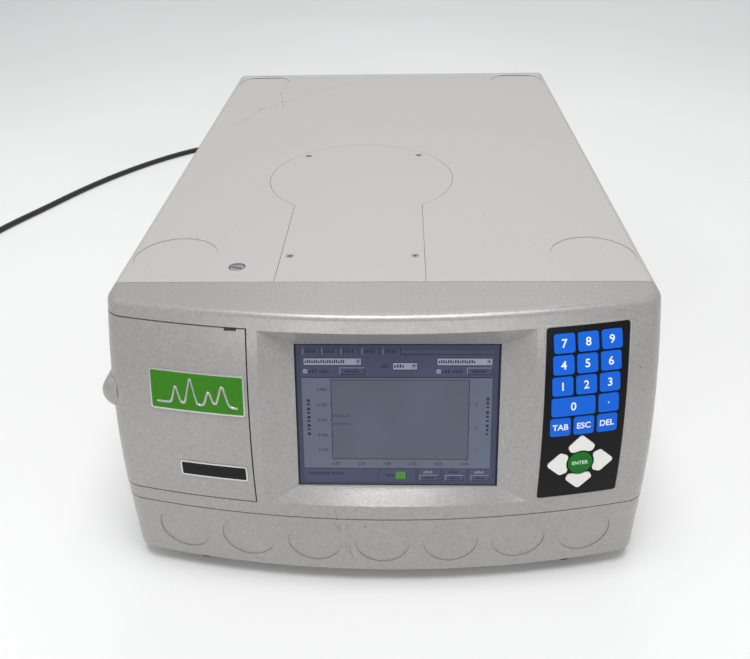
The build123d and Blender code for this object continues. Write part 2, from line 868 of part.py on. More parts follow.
overlay_block = front_block(
    keypad_left + keypad_gap,
    keypad_right - keypad_gap,
    keypad_bottom + keypad_gap,
    keypad_top - keypad_gap,
    keypad_corner,
)
overlay_skin = front_skin(overlay_sink, pocket_depth, overlay_block)
key_holes = [key_outline(kind, key_gap) for name, kind, column, row, turns in keys]
with BuildPart() as keypad_overlay:
    add(overlay_skin)
    for hole, (name, kind, column, row, turns) in zip(key_holes, keys):
        with BuildSketch(key_plane(column, row, turns).offset(-2 * pocket_depth)):
            add(hole)
        extrude(amount=4 * pocket_depth, mode=Mode.SUBTRACT)
keypad_overlay.part.label = "keypad_overlay"
export_step(keypad_overlay.part, "parts/keypad_overlay.step")

backing_block = front_block(
    keypad_left + keypad_ledge + keypad_gap,
    keypad_right - keypad_ledge - keypad_gap,
    keypad_bottom + keypad_ledge + keypad_gap,
    keypad_top - keypad_ledge - keypad_gap,
    keypad_corner,
)
backing_skin = front_skin(backing_inset, backing_inset + backing_thick, backing_block)
with BuildPart() as keypad_board:
    add(backing_skin)
keypad_board.part.label = "keypad_board"
export_step(keypad_board.part, "parts/keypad_board.step")

for name, kind, column, row, turns in keys:
    outline = key_outline(kind, 0)
    with BuildPart() as key:
        with BuildSketch(key_plane(column, row, turns).offset(-key_depth)):
            add(outline)
        extrude(amount=key_depth + key_proud)
    key.part.label = name
    export_step(key.part, f"parts/{name}.step")

# Base pan with upturned sides and vent slots
pan_front = cover_front
pan_rear = cover_rear
flange_front = seam_y + collar_length + 1
with BuildPart() as base_pan:
    with BuildSketch(Plane.XY.offset(foot_height)):
        with Locations((0, (pan_front + pan_rear) / 2)):
            Rectangle(width, pan_rear - pan_front)
        with Locations((bench_left + 40, 0), (0, 0)):
            with GridLocations(0, 14, 1, 9):
                SlotOverall(34, 4, mode=Mode.SUBTRACT)
    extrude(amount=base_sheet)
    with BuildSketch(Plane.XY.offset(cover_bottom)):
        for side in (-1, 1):
            with Locations((side * (collar_half - base_sheet / 2), (flange_front + panel_y - panel_sheet - 1) / 2)):
                Rectangle(base_sheet, panel_y - panel_sheet - 1 - flange_front)
    extrude(amount=base_flange)
base_pan.part.label = "base_pan"
export_step(base_pan.part, "parts/base_pan.step")

# Rear panel: a recessed plate in a flush rim, with a round fan grille and cut-outs
rim_front = cover_rear + seam_gap
tray_half = collar_half
tray_top = collar_top
tray_bottom = cover_bottom + case_gap
with BuildPart() as rear_panel:
    with BuildSketch(Plane.XZ.offset(-rear_y)):
        with Locations((0, (tray_top + tray_bottom) / 2)):
            Rectangle(2 * tray_half, tray_top - tray_bottom)
    extrude(amount=rear_y - panel_y + panel_sheet)
    with BuildSketch(Plane.XZ.offset(-rear_y)):
        with Locations((0, (top_z + foot_height) / 2)):
            Rectangle(width, top_z - foot_height)
    extrude(amount=rear_y - rim_front)
    fillet(
        [
            edge
            for edge in rear_panel.edges().filter_by(Axis.Y)
            if edge.center().Z > top_z - 0.1 and edge.center().Y > rim_front
        ],
        edge_radius,
    )
    with BuildSketch(Plane.XZ.offset(-rear_y)):
        with Locations((0, (tray_top + tray_bottom) / 2)):
            Rectangle(2 * (tray_half - panel_sheet), tray_top - tray_bottom - 2 * panel_sheet)
    extrude(amount=rear_y - panel_y, mode=Mode.SUBTRACT)
    with BuildSketch(Plane.XZ.offset(-rear_y)):
        with Locations((fan_x, fan_z)):
            for ring in range(grille_rings):
                outer = fan_bore - ring * (grille_slot + grille_web)
                Circle(outer)
                Circle(outer - grille_slot, mode=Mode.SUBTRACT)
            for turn in (45, 135):
                Rectangle(2 * fan_bore + 2, 2 * grille_web, rotation=turn, mode=Mode.SUBTRACT)
        with Locations((module_x, inlet_z)):
            Rectangle(module_width - 4, module_height - 4)
        with Locations(*[(x, signal_z) for x in dsub_x]):
            Rectangle(dsub_body[0] + 2 * case_gap, dsub_body[1] + 2 * case_gap)
        with Locations((jack_x, signal_z)):
            Rectangle(jack_size[0] + 2 * case_gap, jack_size[1] + 2 * case_gap)
        with Locations(*[(x, signal_high_z) for x in coax_x]):
            Circle(coax_radius + case_gap)
        with Locations((terminal_x, signal_high_z)):
            Rectangle(terminal_size[0] + 2 * case_gap, terminal_size[1] + 2 * case_gap)
    extrude(amount=2 * panel_depth, mode=Mode.SUBTRACT)
rear_panel.part.label = "rear_panel"
export_step(rear_panel.part, "parts/rear_panel.step")

# Signal sockets: two D-shaped sockets, a network jack, two coaxial sockets and a terminal block
coax_places = [(x, signal_high_z) for x in coax_x]
dsub_places = [(x, signal_z) for x in dsub_x]
with BuildPart() as signal_connectors:
    with BuildSketch(Plane.XZ.offset(-panel_y)):
        with Locations(*dsub_places):
            RectangleRounded(*dsub_flange, plate_corner)
    extrude(amount=-dsub_sheet)
    with BuildSketch(Plane.XZ.offset(-panel_y - dsub_proud)):
        with Locations(*dsub_places):
            Trapezoid(*dsub_shell, dsub_shell_angle)
    extrude(amount=dsub_proud)
    with BuildSketch(Plane.XZ.offset(-panel_y)):
        with Locations(*dsub_places):
            Rectangle(*dsub_body)
    extrude(amount=dsub_depth)
    with BuildSketch(Plane.XZ.offset(-panel_y - jack_proud)):
        with Locations((jack_x, signal_z)):
            Rectangle(*jack_size)
    extrude(amount=jack_length)
    with BuildSketch(Plane.XZ.offset(-panel_y - jack_proud)):
        with Locations((jack_x, signal_z)):
            Rectangle(*jack_mouth)
    extrude(amount=jack_depth, mode=Mode.SUBTRACT)
    with BuildSketch(Plane.XZ.offset(-panel_y - coax_proud)):
        with Locations(*coax_places):
            Circle(coax_radius)
    extrude(amount=2 * coax_proud)
    with BuildSketch(Plane.XZ.offset(-panel_y - coax_proud)):
        with Locations(*coax_places):
            Circle(coax_radius - 2)
            Circle(coax_radius / 6, mode=Mode.SUBTRACT)
    extrude(amount=coax_proud, mode=Mode.SUBTRACT)
    with BuildSketch(Plane.XZ.offset(-panel_y - terminal_proud)):
        with Locations((terminal_x, signal_high_z)):
            Rectangle(*terminal_size)
    extrude(amount=terminal_length)
    with BuildSketch(Plane.XZ.offset(-panel_y - terminal_proud)):
        with Locations((terminal_x, signal_high_z)):
            with GridLocations(terminal_pitch, 0, terminal_count, 1):
                Circle(terminal_pitch / 3)
    extrude(amount=terminal_proud, mode=Mode.SUBTRACT)
signal_connectors.part.label = "signal_connectors"
export_step(signal_connectors.part, "parts/signal_connectors.step")

# Mains inlet module: flange, socket with three pins and the well of the switch
socket_front = panel_y + module_flange
socket_floor = socket_front - socket_depth
rocker_y = socket_front - rocker_sink
contact_places = [
    (inlet_x - contact_pitch, inlet_z - contact_drop),
    (inlet_x + contact_pitch, inlet_z - contact_drop),
    (inlet_x, inlet_z + contact_drop),
]
with BuildPart() as power_inlet:
    with BuildSketch(Plane.XZ.offset(-panel_y)):
        with Locations((module_x, inlet_z)):
            RectangleRounded(module_width, module_height, plate_corner)
    extrude(amount=-module_flange)
    with BuildSketch(Plane.XZ.offset(-panel_y)):
        with Locations((module_x, inlet_z)):
            Rectangle(module_width - 5, module_height - 5)
    extrude(amount=module_back)
    with BuildSketch(Plane.XZ.offset(-socket_front)):
        with Locations((inlet_x, inlet_z)):
            RectangleRounded(socket_width, socket_height, socket_corner)
        with Locations((rocker_x, inlet_z)):
            Rectangle(rocker_width + 2 * rocker_gap, rocker_height + 2 * rocker_gap)
    extrude(amount=socket_depth, mode=Mode.SUBTRACT)
    with BuildSketch(Plane.XZ.offset(-socket_floor)):
        with Locations(*contact_places):
            Rectangle(contact_width, contact_height)
    extrude(amount=-contact_length)
    with Locations(Plane((rocker_x, rocker_y, inlet_z), z_dir=(1, 0, 0))):
        Cylinder(rocker_axle + pin_clear, rocker_width + 4, mode=Mode.SUBTRACT)
power_inlet.part.label = "power_inlet"
export_step(power_inlet.part, "parts/power_inlet.step")

rocker_side = Plane((rocker_x - rocker_width / 2, rocker_y, inlet_z), x_dir=(0, 1, 0), z_dir=(1, 0, 0))
rocker_edge = rocker_sink / 4
with BuildPart() as power_rocker:
    with BuildSketch(rocker_side):
        Polygon(
            (-rocker_depth, -rocker_height / 3),
            (rocker_edge, -rocker_height / 2),
            (rocker_sink, 0),
            (rocker_edge, rocker_height / 2),
            (-rocker_depth, rocker_height / 3),
            align=None,
            rotation=-rocker_tilt,
        )
    extrude(amount=rocker_width)
    with Locations(Plane((rocker_x, rocker_y, inlet_z), z_dir=(1, 0, 0))):
        Cylinder(rocker_axle, rocker_width + 3)
power_rocker.part.label = "power_rocker"
export_step(power_rocker.part, "parts/power_rocker.step")

# Fan frame with its spider and shaft, and the bladed rotor that turns on it
fan_rear_y = panel_y - panel_sheet
fan_plane = Plane((fan_x, fan_rear_y, fan_z), x_dir=(1, 0, 0), z_dir=(0, -1, 0))
fan_screw_pitch = fan_size - 2 * fan_screw_inset
with BuildPart() as fan_frame:
    with BuildSketch(fan_plane):
        RectangleRounded(fan_size, fan_size, fan_corner)
        Circle(fan_bore, mode=Mode.SUBTRACT)
        with GridLocations(fan_screw_pitch, fan_screw_pitch, 2, 2):
            Circle(fan_screw_radius, mode=Mode.SUBTRACT)
    extrude(amount=fan_depth)
    with BuildSketch(fan_plane):
        Circle(fan_hub)
        for turn in (0, 90):
            Rectangle(2 * fan_bore + 2, spider_arm, rotation=turn)
    extrude(amount=spider_thick)
    with BuildSketch(fan_plane.offset(spider_thick)):
        Circle(fan_shaft)
    extrude(amount=blade_width - 1)
fan_frame.part.label = "fan_frame"
export_step(fan_frame.part, "parts/fan_frame.step")

rotor_plane = fan_plane.offset(spider_thick + case_gap)
with BuildPart() as fan_rotor:
    with BuildSketch(rotor_plane):
        Circle(fan_hub)
    extrude(amount=blade_width)
    with Locations(rotor_plane.offset(blade_width / 2)):
        with PolarLocations((fan_hub + fan_blade_tip) / 2 - 1, blade_count):
            Box(fan_blade_tip - fan_hub + 2, blade_thick, blade_width, rotation=(blade_pitch, 0, 0))
    with BuildSketch(rotor_plane.offset(-1)):
        Circle(fan_shaft + fan_shaft_clear)
    extrude(amount=blade_width, mode=Mode.SUBTRACT)
fan_rotor.part.label = "fan_rotor"
export_step(fan_rotor.part, "parts/fan_rotor.step")

# Optical bench: a thick plate with uprights for the laser and the forward monitor
beam_x = keyhole_x
beam_y = keyhole_y
laser_front = beam_y + head_radius + laser_gap
monitor_rear = beam_y - head_radius - laser_gap
laser_bottom = beam_z - laser_height / 2
monitor_bottom = beam_z - monitor_width / 2
bench_mid_x = (bench_left + bench_right) / 2
bench_mid_y = (bench_front + bench_rear) / 2
mount_pitch_x = bench_right - bench_left - 3 * mount_radius
mount_pitch_y = bench_rear - bench_front - 3 * mount_radius
with BuildPart() as optical_bench:
    with BuildSketch(Plane.XY.offset(bench_bottom)):
        with Locations((bench_mid_x, bench_mid_y)):
            RectangleRounded(bench_right - bench_left, bench_rear - bench_front, mount_radius)
    extrude(amount=bench_top - bench_bottom)
    with BuildSketch(Plane.XY.offset(bench_top)):
        with Locations((beam_x, laser_front + laser_length / 5), (beam_x, laser_front + laser_length * 4 / 5)):
            Rectangle(laser_width, upright_thick)
    extrude(amount=laser_bottom - bench_top)
    with BuildSketch(Plane.XY.offset(bench_top)):
        with Locations((beam_x, monitor_rear - monitor_length / 2)):
            Rectangle(monitor_width, upright_thick)
    extrude(amount=monitor_bottom - bench_top)
optical_bench.part.label = "optical_bench"
export_step(optical_bench.part, "parts/optical_bench.step")

# Rubber mounts between the base pan and the bench
with BuildPart() as bench_mounts:
    with BuildSketch(Plane.XY.offset(cover_bottom)):
        with Locations((bench_mid_x, bench_mid_y)):
            with GridLocations(mount_pitch_x, mount_pitch_y, 2, 2):
                Circle(mount_radius)
    extrude(amount=bench_bottom - cover_bottom)
bench_mounts.part.label = "bench_mounts"
export_step(bench_mounts.part, "parts/bench_mounts.step")

# Read head: a ring on a hollow foot, bored through for the detectors and the beam
with BuildPart() as read_head:
    with BuildSketch(Plane.XY.offset(bench_top)):
        with Locations((beam_x, beam_y)):
            Circle(head_foot_radius)
            Circle(head_foot_radius - 2 * head_floor, mode=Mode.SUBTRACT)
    extrude(amount=head_bottom - bench_top)
    with BuildSketch(Plane.XY.offset(head_bottom)):
        with Locations((beam_x, beam_y)):
            Circle(head_radius)
    extrude(amount=head_top - head_bottom)
    with BuildSketch(Plane.XY.offset(head_bottom + head_floor)):
        with Locations((beam_x, beam_y)):
            Circle(head_bore)
    extrude(amount=head_top - head_bottom, mode=Mode.SUBTRACT)
    with BuildSketch(Plane.XY.offset(head_bottom + head_floor)):
        with Locations((beam_x, beam_y)):
            Circle(cell_radius - 2)
    extrude(amount=beam_z - cell_height / 2 - head_bottom - head_floor)
    with Locations((beam_x, beam_y, beam_z)):
        with PolarLocations(head_radius - detector_length / 2, detector_count):
            Cylinder(
                detector_radius + detector_clear,
                detector_length,
                rotation=(0, 90, 0),
                mode=Mode.SUBTRACT,
            )
        with PolarLocations((head_radius + head_bore) / 2, detector_count):
            Cylinder(detector_radius / 2, head_radius - head_bore + 4, rotation=(0, 90, 0), mode=Mode.SUBTRACT)
    with BuildSketch(Plane.XZ.offset(-beam_y - head_radius - 2)):
        with Locations((beam_x, beam_z)):
            Circle(detector_radius / 2)
    extrude(amount=2 * head_radius + 4, mode=Mode.SUBTRACT)
read_head.part.label = "read_head"
export_step(read_head.part, "parts/read_head.step")

# Photodiode modules, one in each radial bore
with BuildPart() as detector_modules:
    with Locations((beam_x, beam_y, beam_z)):
        with PolarLocations(head_radius + detector_clear, detector_count):
            Cylinder(
                detector_radius,
                detector_length - 1,
                rotation=(0, 90, 0),
                align=(Align.CENTER, Align.CENTER, Align.MAX),
            )
            Cylinder(
                detector_flange,
                3,
                rotation=(0, 90, 0),
                align=(Align.CENTER, Align.CENTER, Align.MIN),
            )
detector_modules.part.label = "detector_modules"
export_step(detector_modules.part, "parts/detector_modules.step")

# Flow cell: a glass disc with a bore along the beam, between two drilled manifolds
with BuildPart() as flow_cell:
    with BuildSketch(Plane.XY.offset(beam_z - cell_height / 2)):
        with Locations((beam_x, beam_y)):
            Circle(cell_radius)
    extrude(amount=cell_height)
    with BuildSketch(Plane.XZ.offset(-beam_y - cell_radius - 1)):
        with Locations((beam_x, beam_z)):
            Circle(cell_bore)
    extrude(amount=2 * cell_radius + 2, mode=Mode.SUBTRACT)
flow_cell.part.label = "flow_cell"
export_step(flow_cell.part, "parts/flow_cell.step")

manifold_bottom = head_bottom + head_floor
manifold_top = manifold_bottom + manifold_height
port_y = cell_radius + fit_gap + manifold_depth / 2
with BuildPart() as cell_manifolds:
    with Locations((beam_x, beam_y - port_y, manifold_bottom), (beam_x, beam_y + port_y, manifold_bottom)):
        Box(manifold_width, manifold_depth, manifold_height, align=(Align.CENTER, Align.CENTER, Align.MIN))
    with BuildSketch(Plane.XZ.offset(-beam_y - head_bore)):
        with Locations((beam_x, beam_z)):
            Circle(cell_bore)
    extrude(amount=2 * head_bore, mode=Mode.SUBTRACT)
    with BuildSketch(Plane.XY.offset(manifold_top)):
        with Locations((beam_x, beam_y - port_y), (beam_x, beam_y + port_y)):
            Circle(union_bore)
    extrude(amount=beam_z - manifold_top, mode=Mode.SUBTRACT)
cell_manifolds.part.label = "cell_manifolds"
export_step(cell_manifolds.part, "parts/cell_manifolds.step")

# Laser behind the read head, finned along its sides, and the forward monitor in front of it
with BuildPart() as laser_module:
    with Locations((beam_x, laser_front, beam_z)):
        Box(laser_width, laser_length, laser_height, align=(Align.CENTER, Align.MIN, Align.CENTER))
    fillet(laser_module.edges().filter_by(Axis.Y), 3)
    with BuildSketch(Plane.XZ.offset(-laser_front - laser_length)):
        for side in (-1, 1):
            with Locations((beam_x + side * laser_width / 2, beam_z)):
                with GridLocations(0, 5, 1, 6):
                    Rectangle(8, 2)
    extrude(amount=laser_length - upright_thick, mode=Mode.SUBTRACT)
    with BuildSketch(Plane.XZ.offset(-laser_front)):
        with Locations((beam_x, beam_z)):
            Circle(snout_radius)
    extrude(amount=laser_gap - case_gap)
laser_module.part.label = "laser_module"
export_step(laser_module.part, "parts/laser_module.step")

with BuildPart() as forward_monitor:
    with Locations((beam_x, monitor_rear, beam_z)):
        Box(monitor_width, monitor_length, monitor_width, align=(Align.CENTER, Align.MAX, Align.CENTER))
    chamfer(forward_monitor.edges().filter_by(Axis.Y), 2)
    with BuildSketch(Plane.XZ.offset(-monitor_rear)):
        with Locations((beam_x, beam_z)):
            Circle(snout_radius)
    extrude(amount=-laser_gap + case_gap)
forward_monitor.part.label = "forward_monitor"
export_step(forward_monitor.part, "parts/forward_monitor.step")

# Steel capillaries from the unions to the ports on top of the manifolds
capillary_rise = manifold_top + 12
capillary_start = union_seat + liner_wall + union_rear
with BuildPart() as capillaries:
    for x, side in zip(union_x, (-1, 1)):
        port = beam_y + side * port_y
        route = [
            (x, capillary_start, union_z),
            (x, capillary_start + 30, union_z),
            (x + 25, (capillary_start + port) / 2, (union_z + capillary_rise) / 2),
            (beam_x - 20, port, capillary_rise),
            (beam_x, port, capillary_rise),
            (beam_x, port, manifold_top),
        ]
        with BuildLine() as path:
            FilletPolyline(*route, radius=5)
        with BuildSketch(Plane(path.line @ 0, z_dir=path.line % 0)):
            Circle(tube_radius)
        sweep(path=path.line)
capillaries.part.label = "capillaries"
export_step(capillaries.part, "parts/capillaries.step")

# Power supply in its cage and the main circuit board on standoffs
with BuildPart() as power_supply:
    with Locations(((supply_left + supply_right) / 2, (supply_front + supply_rear) / 2, cover_bottom)):
        Box(
            supply_right - supply_left,
            supply_rear - supply_front,
            supply_height,
            align=(Align.CENTER, Align.CENTER, Align.MIN),
        )
    chamfer(power_supply.edges().filter_by(Axis.Z), 1)
    with BuildSketch(Plane.XY.offset(cover_bottom + supply_height)):
        with Locations(((supply_left + supply_right) / 2, (supply_front + supply_rear) / 2)):
            with GridLocations(16, 16, 4, 6):
                Circle(4)
    extrude(amount=-2, mode=Mode.SUBTRACT)
power_supply.part.label = "power_supply"
export_step(power_supply.part, "parts/power_supply.step")

board_mid = ((board_left + board_right) / 2, (board_front + board_rear) / 2)
board_z = cover_bottom + standoff_height
with BuildPart() as main_board:
    with BuildSketch(Plane.XY.offset(board_z)):
        with Locations(board_mid):
            Rectangle(board_right - board_left, board_rear - board_front)
    extrude(amount=board_thick)
    with BuildSketch(Plane.XY.offset(cover_bottom)):
        with Locations(board_mid):
            with GridLocations(board_right - board_left - 10, board_rear - board_front - 10, 2, 2):
                Circle(standoff_radius)
    extrude(amount=standoff_height)
    with BuildSketch(Plane.XY.offset(board_z + board_thick)):
        with Locations(board_mid):
            with GridLocations(28, 45, 3, 5):
                Rectangle(16, 20)
    extrude(amount=3)
main_board.part.label = "main_board"
export_step(main_board.part, "parts/main_board.step")

# Rubber feet
with BuildPart() as feet:
    with Locations(
        (-front_foot_x, front_foot_y, 0),
        (front_foot_x, front_foot_y, 0),
        (-rear_foot_x, rear_foot_y, 0),
        (rear_foot_x, rear_foot_y, 0),
    ):
        Cone(foot_radius - foot_taper, foot_radius, foot_height, align=(Align.CENTER, Align.CENTER, Align.MIN))
feet.part.label = "feet"
export_step(feet.part, "parts/feet.step")

# Mains connector in the inlet, with its tapered strain relief
connector_front = socket_floor + case_gap
connector_rear = connector_front + connector_body
grip_front = socket_front + 1
relief_end = connector_rear + relief_length
relief_taper = degrees(asin((relief_radius - relief_tip_radius) / relief_length))
with BuildPart() as mains_connector:
    with BuildSketch(Plane.XZ.offset(-connector_front)):
        with Locations((inlet_x, inlet_z)):
            RectangleRounded(connector_width, connector_height, socket_corner)
    extrude(amount=-connector_body)
    with BuildSketch(Plane.XZ.offset(-grip_front)):
        with Locations((inlet_x, inlet_z)):
            RectangleRounded(
                connector_width + 2 * connector_grip, connector_height + 2 * connector_grip, socket_corner
            )
    extrude(amount=grip_front - connector_rear)
    with BuildSketch(Plane.XZ.offset(-connector_rear)):
        with Locations((inlet_x, inlet_z)):
            Circle(relief_radius)
    extrude(amount=-relief_length, taper=relief_taper)
    with BuildSketch(Plane.XZ.offset(-connector_front)):
        with Locations(*contact_places):
            Rectangle(contact_width + 2 * fit_gap, contact_height + 2 * fit_gap)
    extrude(amount=-contact_length - 1, mode=Mode.SUBTRACT)
mains_connector.part.label = "mains_connector"
export_step(mains_connector.part, "parts/mains_connector.step")

# Mains lead: from the connector down to the table, round behind the case and forward on the left
lie = cord_radius + 0.1
cord_route = [
    (inlet_x, relief_end, inlet_z),
    (-118.0, 360.0, 44.0),
    (-119.0, 394.0, 31.0),
    (-121.0, 432.0, 11.0),
    (-125.0, 474.0, lie),
    (-136.0, 520.0, lie + 0.2),
    (-156.0, 562.0, lie),
    (-190.0, 596.0, lie + 0.2),
    (-234.0, 612.0, lie),
    (-280.0, 605.0, lie + 0.2),
    (-322.0, 581.0, lie),
    (-358.0, 550.0, lie + 0.2),
    (-391.0, 514.0, lie),
    (-420.0, 475.0, lie + 0.2),
    (-446.0, 435.0, lie),
    (-468.0, 393.0, lie + 0.2),
    (-489.0, 349.0, lie),
    (-510.0, 308.0, lie + 0.2),
    (-529.0, 266.0, lie),
    (-539.5, 226.0, lie + 0.2),
    (-541.0, coil_y, lie),
]


def bend_radii(route):
    """Largest even radius of each bend: 0.45 of the shorter run over the tangent of half the turn."""
    radii = []
    for before, here, after in zip(route, route[1:], route[2:]):
        run_in = Vector(*here) - Vector(*before)
        run_out = Vector(*after) - Vector(*here)
        half_turn = radians(run_in.get_angle(run_out)) / 2
        radii.append(0.45 * min(run_in.length, run_out.length) / tan(half_turn))
    return radii


cord_radii = bend_radii(cord_route)
print("cord bend radii", [round(radius) for radius in cord_radii])
with BuildPart() as mains_cord:
    with BuildLine() as cord_line:
        FilletPolyline(*cord_route, radius=cord_radii)
    with BuildSketch(Plane(cord_line.line @ 0, z_dir=cord_line.line % 0)):
        Circle(cord_radius)
    sweep(path=cord_line.line)
cord_length = sum(edge.length for edge in cord_line.edges())
print("cord length", round(cord_length, 1))
print("cord volume ratio", round(mains_cord.part.volume / (pi * cord_radius**2 * cord_length), 4))
mains_cord.part.label = "mains_cord"
export_step(mains_cord.part, "parts/mains_cord.step")

with BuildPart() as cord_coil:
    with BuildSketch():
        with Locations((coil_x, coil_y)):
            Circle(coil_mid_radius + coil_half_width)
            Circle(coil_mid_radius - coil_half_width, mode=Mode.SUBTRACT)
    extrude(amount=coil_height)
cord_coil.part.label = "cord_coil"
export_step(cord_coil.part, "parts/cord_coil.step")

# Mains plug beside the coil, with its strain relief, two blades and a round pin
plug_x = coil_x - coil_mid_radius - cord_radius
plug_z = plug_depth / 2
plug_start = coil_y + relief_length
blade_places = [(plug_x - blade_spacing / 2, plug_z - 2), (plug_x + blade_spacing / 2, plug_z - 2)]
with BuildPart() as mains_plug:
    with BuildSketch(Plane.XZ.offset(-plug_start)):
        with Locations((plug_x, plug_z)):
            RectangleRounded(plug_width, plug_depth, socket_corner)
    extrude(amount=-plug_length)
    fillet(mains_plug.edges().group_by(Axis.Y)[0], plug_edge)
    with BuildSketch(Plane.XZ.offset(-plug_start)):
        with Locations((plug_x, plug_z)):
            Circle(relief_radius)
    extrude(amount=relief_length, taper=relief_taper)
    with BuildSketch(Plane.XZ.offset(-plug_start - plug_length)):
        with Locations(*blade_places):
            Rectangle(*blade_size)
        with Locations((plug_x, plug_z + ground_pin_rise)):
            Circle(ground_pin_radius)
    extrude(amount=-blade_length)
mains_plug.part.label = "mains_plug"
export_step(mains_plug.part, "parts/mains_plug.step")
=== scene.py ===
"""Looks of a bench detector for liquid chromatography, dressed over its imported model."""

import json
import logging
import math
from dataclasses import dataclass, field
from enum import Enum
from typing import Iterable, Sequence

import bmesh
import bpy
from mathutils import Matrix, Vector

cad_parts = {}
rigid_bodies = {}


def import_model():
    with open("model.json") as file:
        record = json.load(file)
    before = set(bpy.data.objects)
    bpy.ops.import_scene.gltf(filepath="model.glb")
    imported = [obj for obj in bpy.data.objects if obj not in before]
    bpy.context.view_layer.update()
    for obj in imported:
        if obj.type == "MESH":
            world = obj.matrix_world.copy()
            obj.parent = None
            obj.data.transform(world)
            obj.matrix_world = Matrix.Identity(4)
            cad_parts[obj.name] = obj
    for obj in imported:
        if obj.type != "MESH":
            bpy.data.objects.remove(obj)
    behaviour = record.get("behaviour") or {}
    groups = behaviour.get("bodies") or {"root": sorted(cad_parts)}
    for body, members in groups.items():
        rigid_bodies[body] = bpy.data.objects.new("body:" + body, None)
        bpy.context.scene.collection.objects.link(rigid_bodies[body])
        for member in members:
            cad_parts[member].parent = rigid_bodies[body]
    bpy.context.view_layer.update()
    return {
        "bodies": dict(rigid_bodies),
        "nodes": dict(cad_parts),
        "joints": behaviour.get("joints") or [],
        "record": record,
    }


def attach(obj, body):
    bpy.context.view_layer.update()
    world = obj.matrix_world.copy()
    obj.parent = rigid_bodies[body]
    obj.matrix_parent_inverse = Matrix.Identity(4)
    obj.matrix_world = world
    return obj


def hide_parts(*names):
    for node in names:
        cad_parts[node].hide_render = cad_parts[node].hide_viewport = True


LOG = logging.getLogger("detector")
MM = 0.001

Colour = tuple[float, float, float]
Point = tuple[float, float, float]


# Finishes
class Kind(Enum):
    """Families of surface, each with its own shader."""

    PAINT = "paint"
    PLASTIC = "plastic"
    FILM = "film"
    SHEET = "sheet"
    MACHINED = "machined"
    ANODISED = "anodised"
    RUBBER = "rubber"
    BOARD = "board"
    GLASS = "glass"
    CORD = "cord"


@dataclass(frozen=True)
class Finish:
    """How one surface looks.

    Attributes:
        kind: Family of the surface.
        colour: Linear base colour.
        roughness: Middle roughness.
        metallic: Share of metal in the surface.
        grain: Cells of fine texture per metre.
        grain_depth: Depth of the fine texture, from 0 to 1.
        tone: How much the colour varies, from 0 to 1.
    """

    kind: Kind
    colour: Colour
    roughness: float
    metallic: float = 0.0
    grain: float = 900.0
    grain_depth: float = 0.2
    tone: float = 0.05


FINISHES: dict[str, Finish] = {
    "cover_paint": Finish(Kind.PAINT, (0.475, 0.464, 0.448), 0.52, 0.15, 1400, 0.12, 0.05),
    "front_paint": Finish(Kind.PAINT, (0.37, 0.362, 0.35), 0.31, 0.3, 1100, 0.32, 0.15),
    "bare_sheet": Finish(Kind.SHEET, (0.6, 0.6, 0.61), 0.35, 0.9, 500, 0.1, 0.08),
    "screw_steel": Finish(Kind.MACHINED, (0.5, 0.5, 0.51), 0.3, 1.0, 900, 0.1, 0.08),
    "black_metal": Finish(Kind.ANODISED, (0.05, 0.045, 0.04), 0.4, 0.6, 900, 0.1, 0.1),
    "black_plastic": Finish(Kind.PLASTIC, (0.02, 0.02, 0.022), 0.5, 0.0, 1500, 0.25, 0.1),
    "liner_plastic": Finish(Kind.PLASTIC, (0.23, 0.23, 0.235), 0.55, 0.0, 1300, 0.25, 0.1),
    "key_blue": Finish(Kind.FILM, (0.006, 0.125, 0.68), 0.38, 0.0, 2200, 0.08, 0.05),
    "key_white": Finish(Kind.FILM, (0.82, 0.815, 0.78), 0.4, 0.0, 2200, 0.08, 0.03),
    "key_green": Finish(Kind.FILM, (0.008, 0.16, 0.014), 0.38, 0.0, 2200, 0.08, 0.05),
    "keypad_film": Finish(Kind.FILM, (0.006, 0.006, 0.007), 0.3, 0.0, 2200, 0.08, 0.1),
    "board_green": Finish(Kind.BOARD, (0.02, 0.16, 0.06), 0.4, 0.0, 900, 0.1, 0.1),
    "bench_aluminium": Finish(Kind.MACHINED, (0.62, 0.62, 0.63), 0.32, 1.0, 700, 0.12, 0.06),
    "module_metal": Finish(Kind.SHEET, (0.6, 0.6, 0.6), 0.35, 0.9, 600, 0.1, 0.06),
    "black_anodised": Finish(Kind.ANODISED, (0.025, 0.025, 0.028), 0.42, 0.5, 900, 0.12, 0.1),
    "rubber": Finish(Kind.RUBBER, (0.018, 0.018, 0.018), 0.75, 0.0, 1200, 0.3, 0.15),
    "silica": Finish(Kind.GLASS, (0.9, 0.95, 0.97), 0.03, 0.0, 900, 0.02, 0.0),
    "capillary_steel": Finish(Kind.MACHINED, (0.6, 0.6, 0.6), 0.25, 1.0, 900, 0.05, 0.05),
    "cord_pvc": Finish(Kind.CORD, (0.012, 0.012, 0.013), 0.42, 0.0, 900, 0.1, 0.15),
}


HOOD_PAINT = "front_paint"


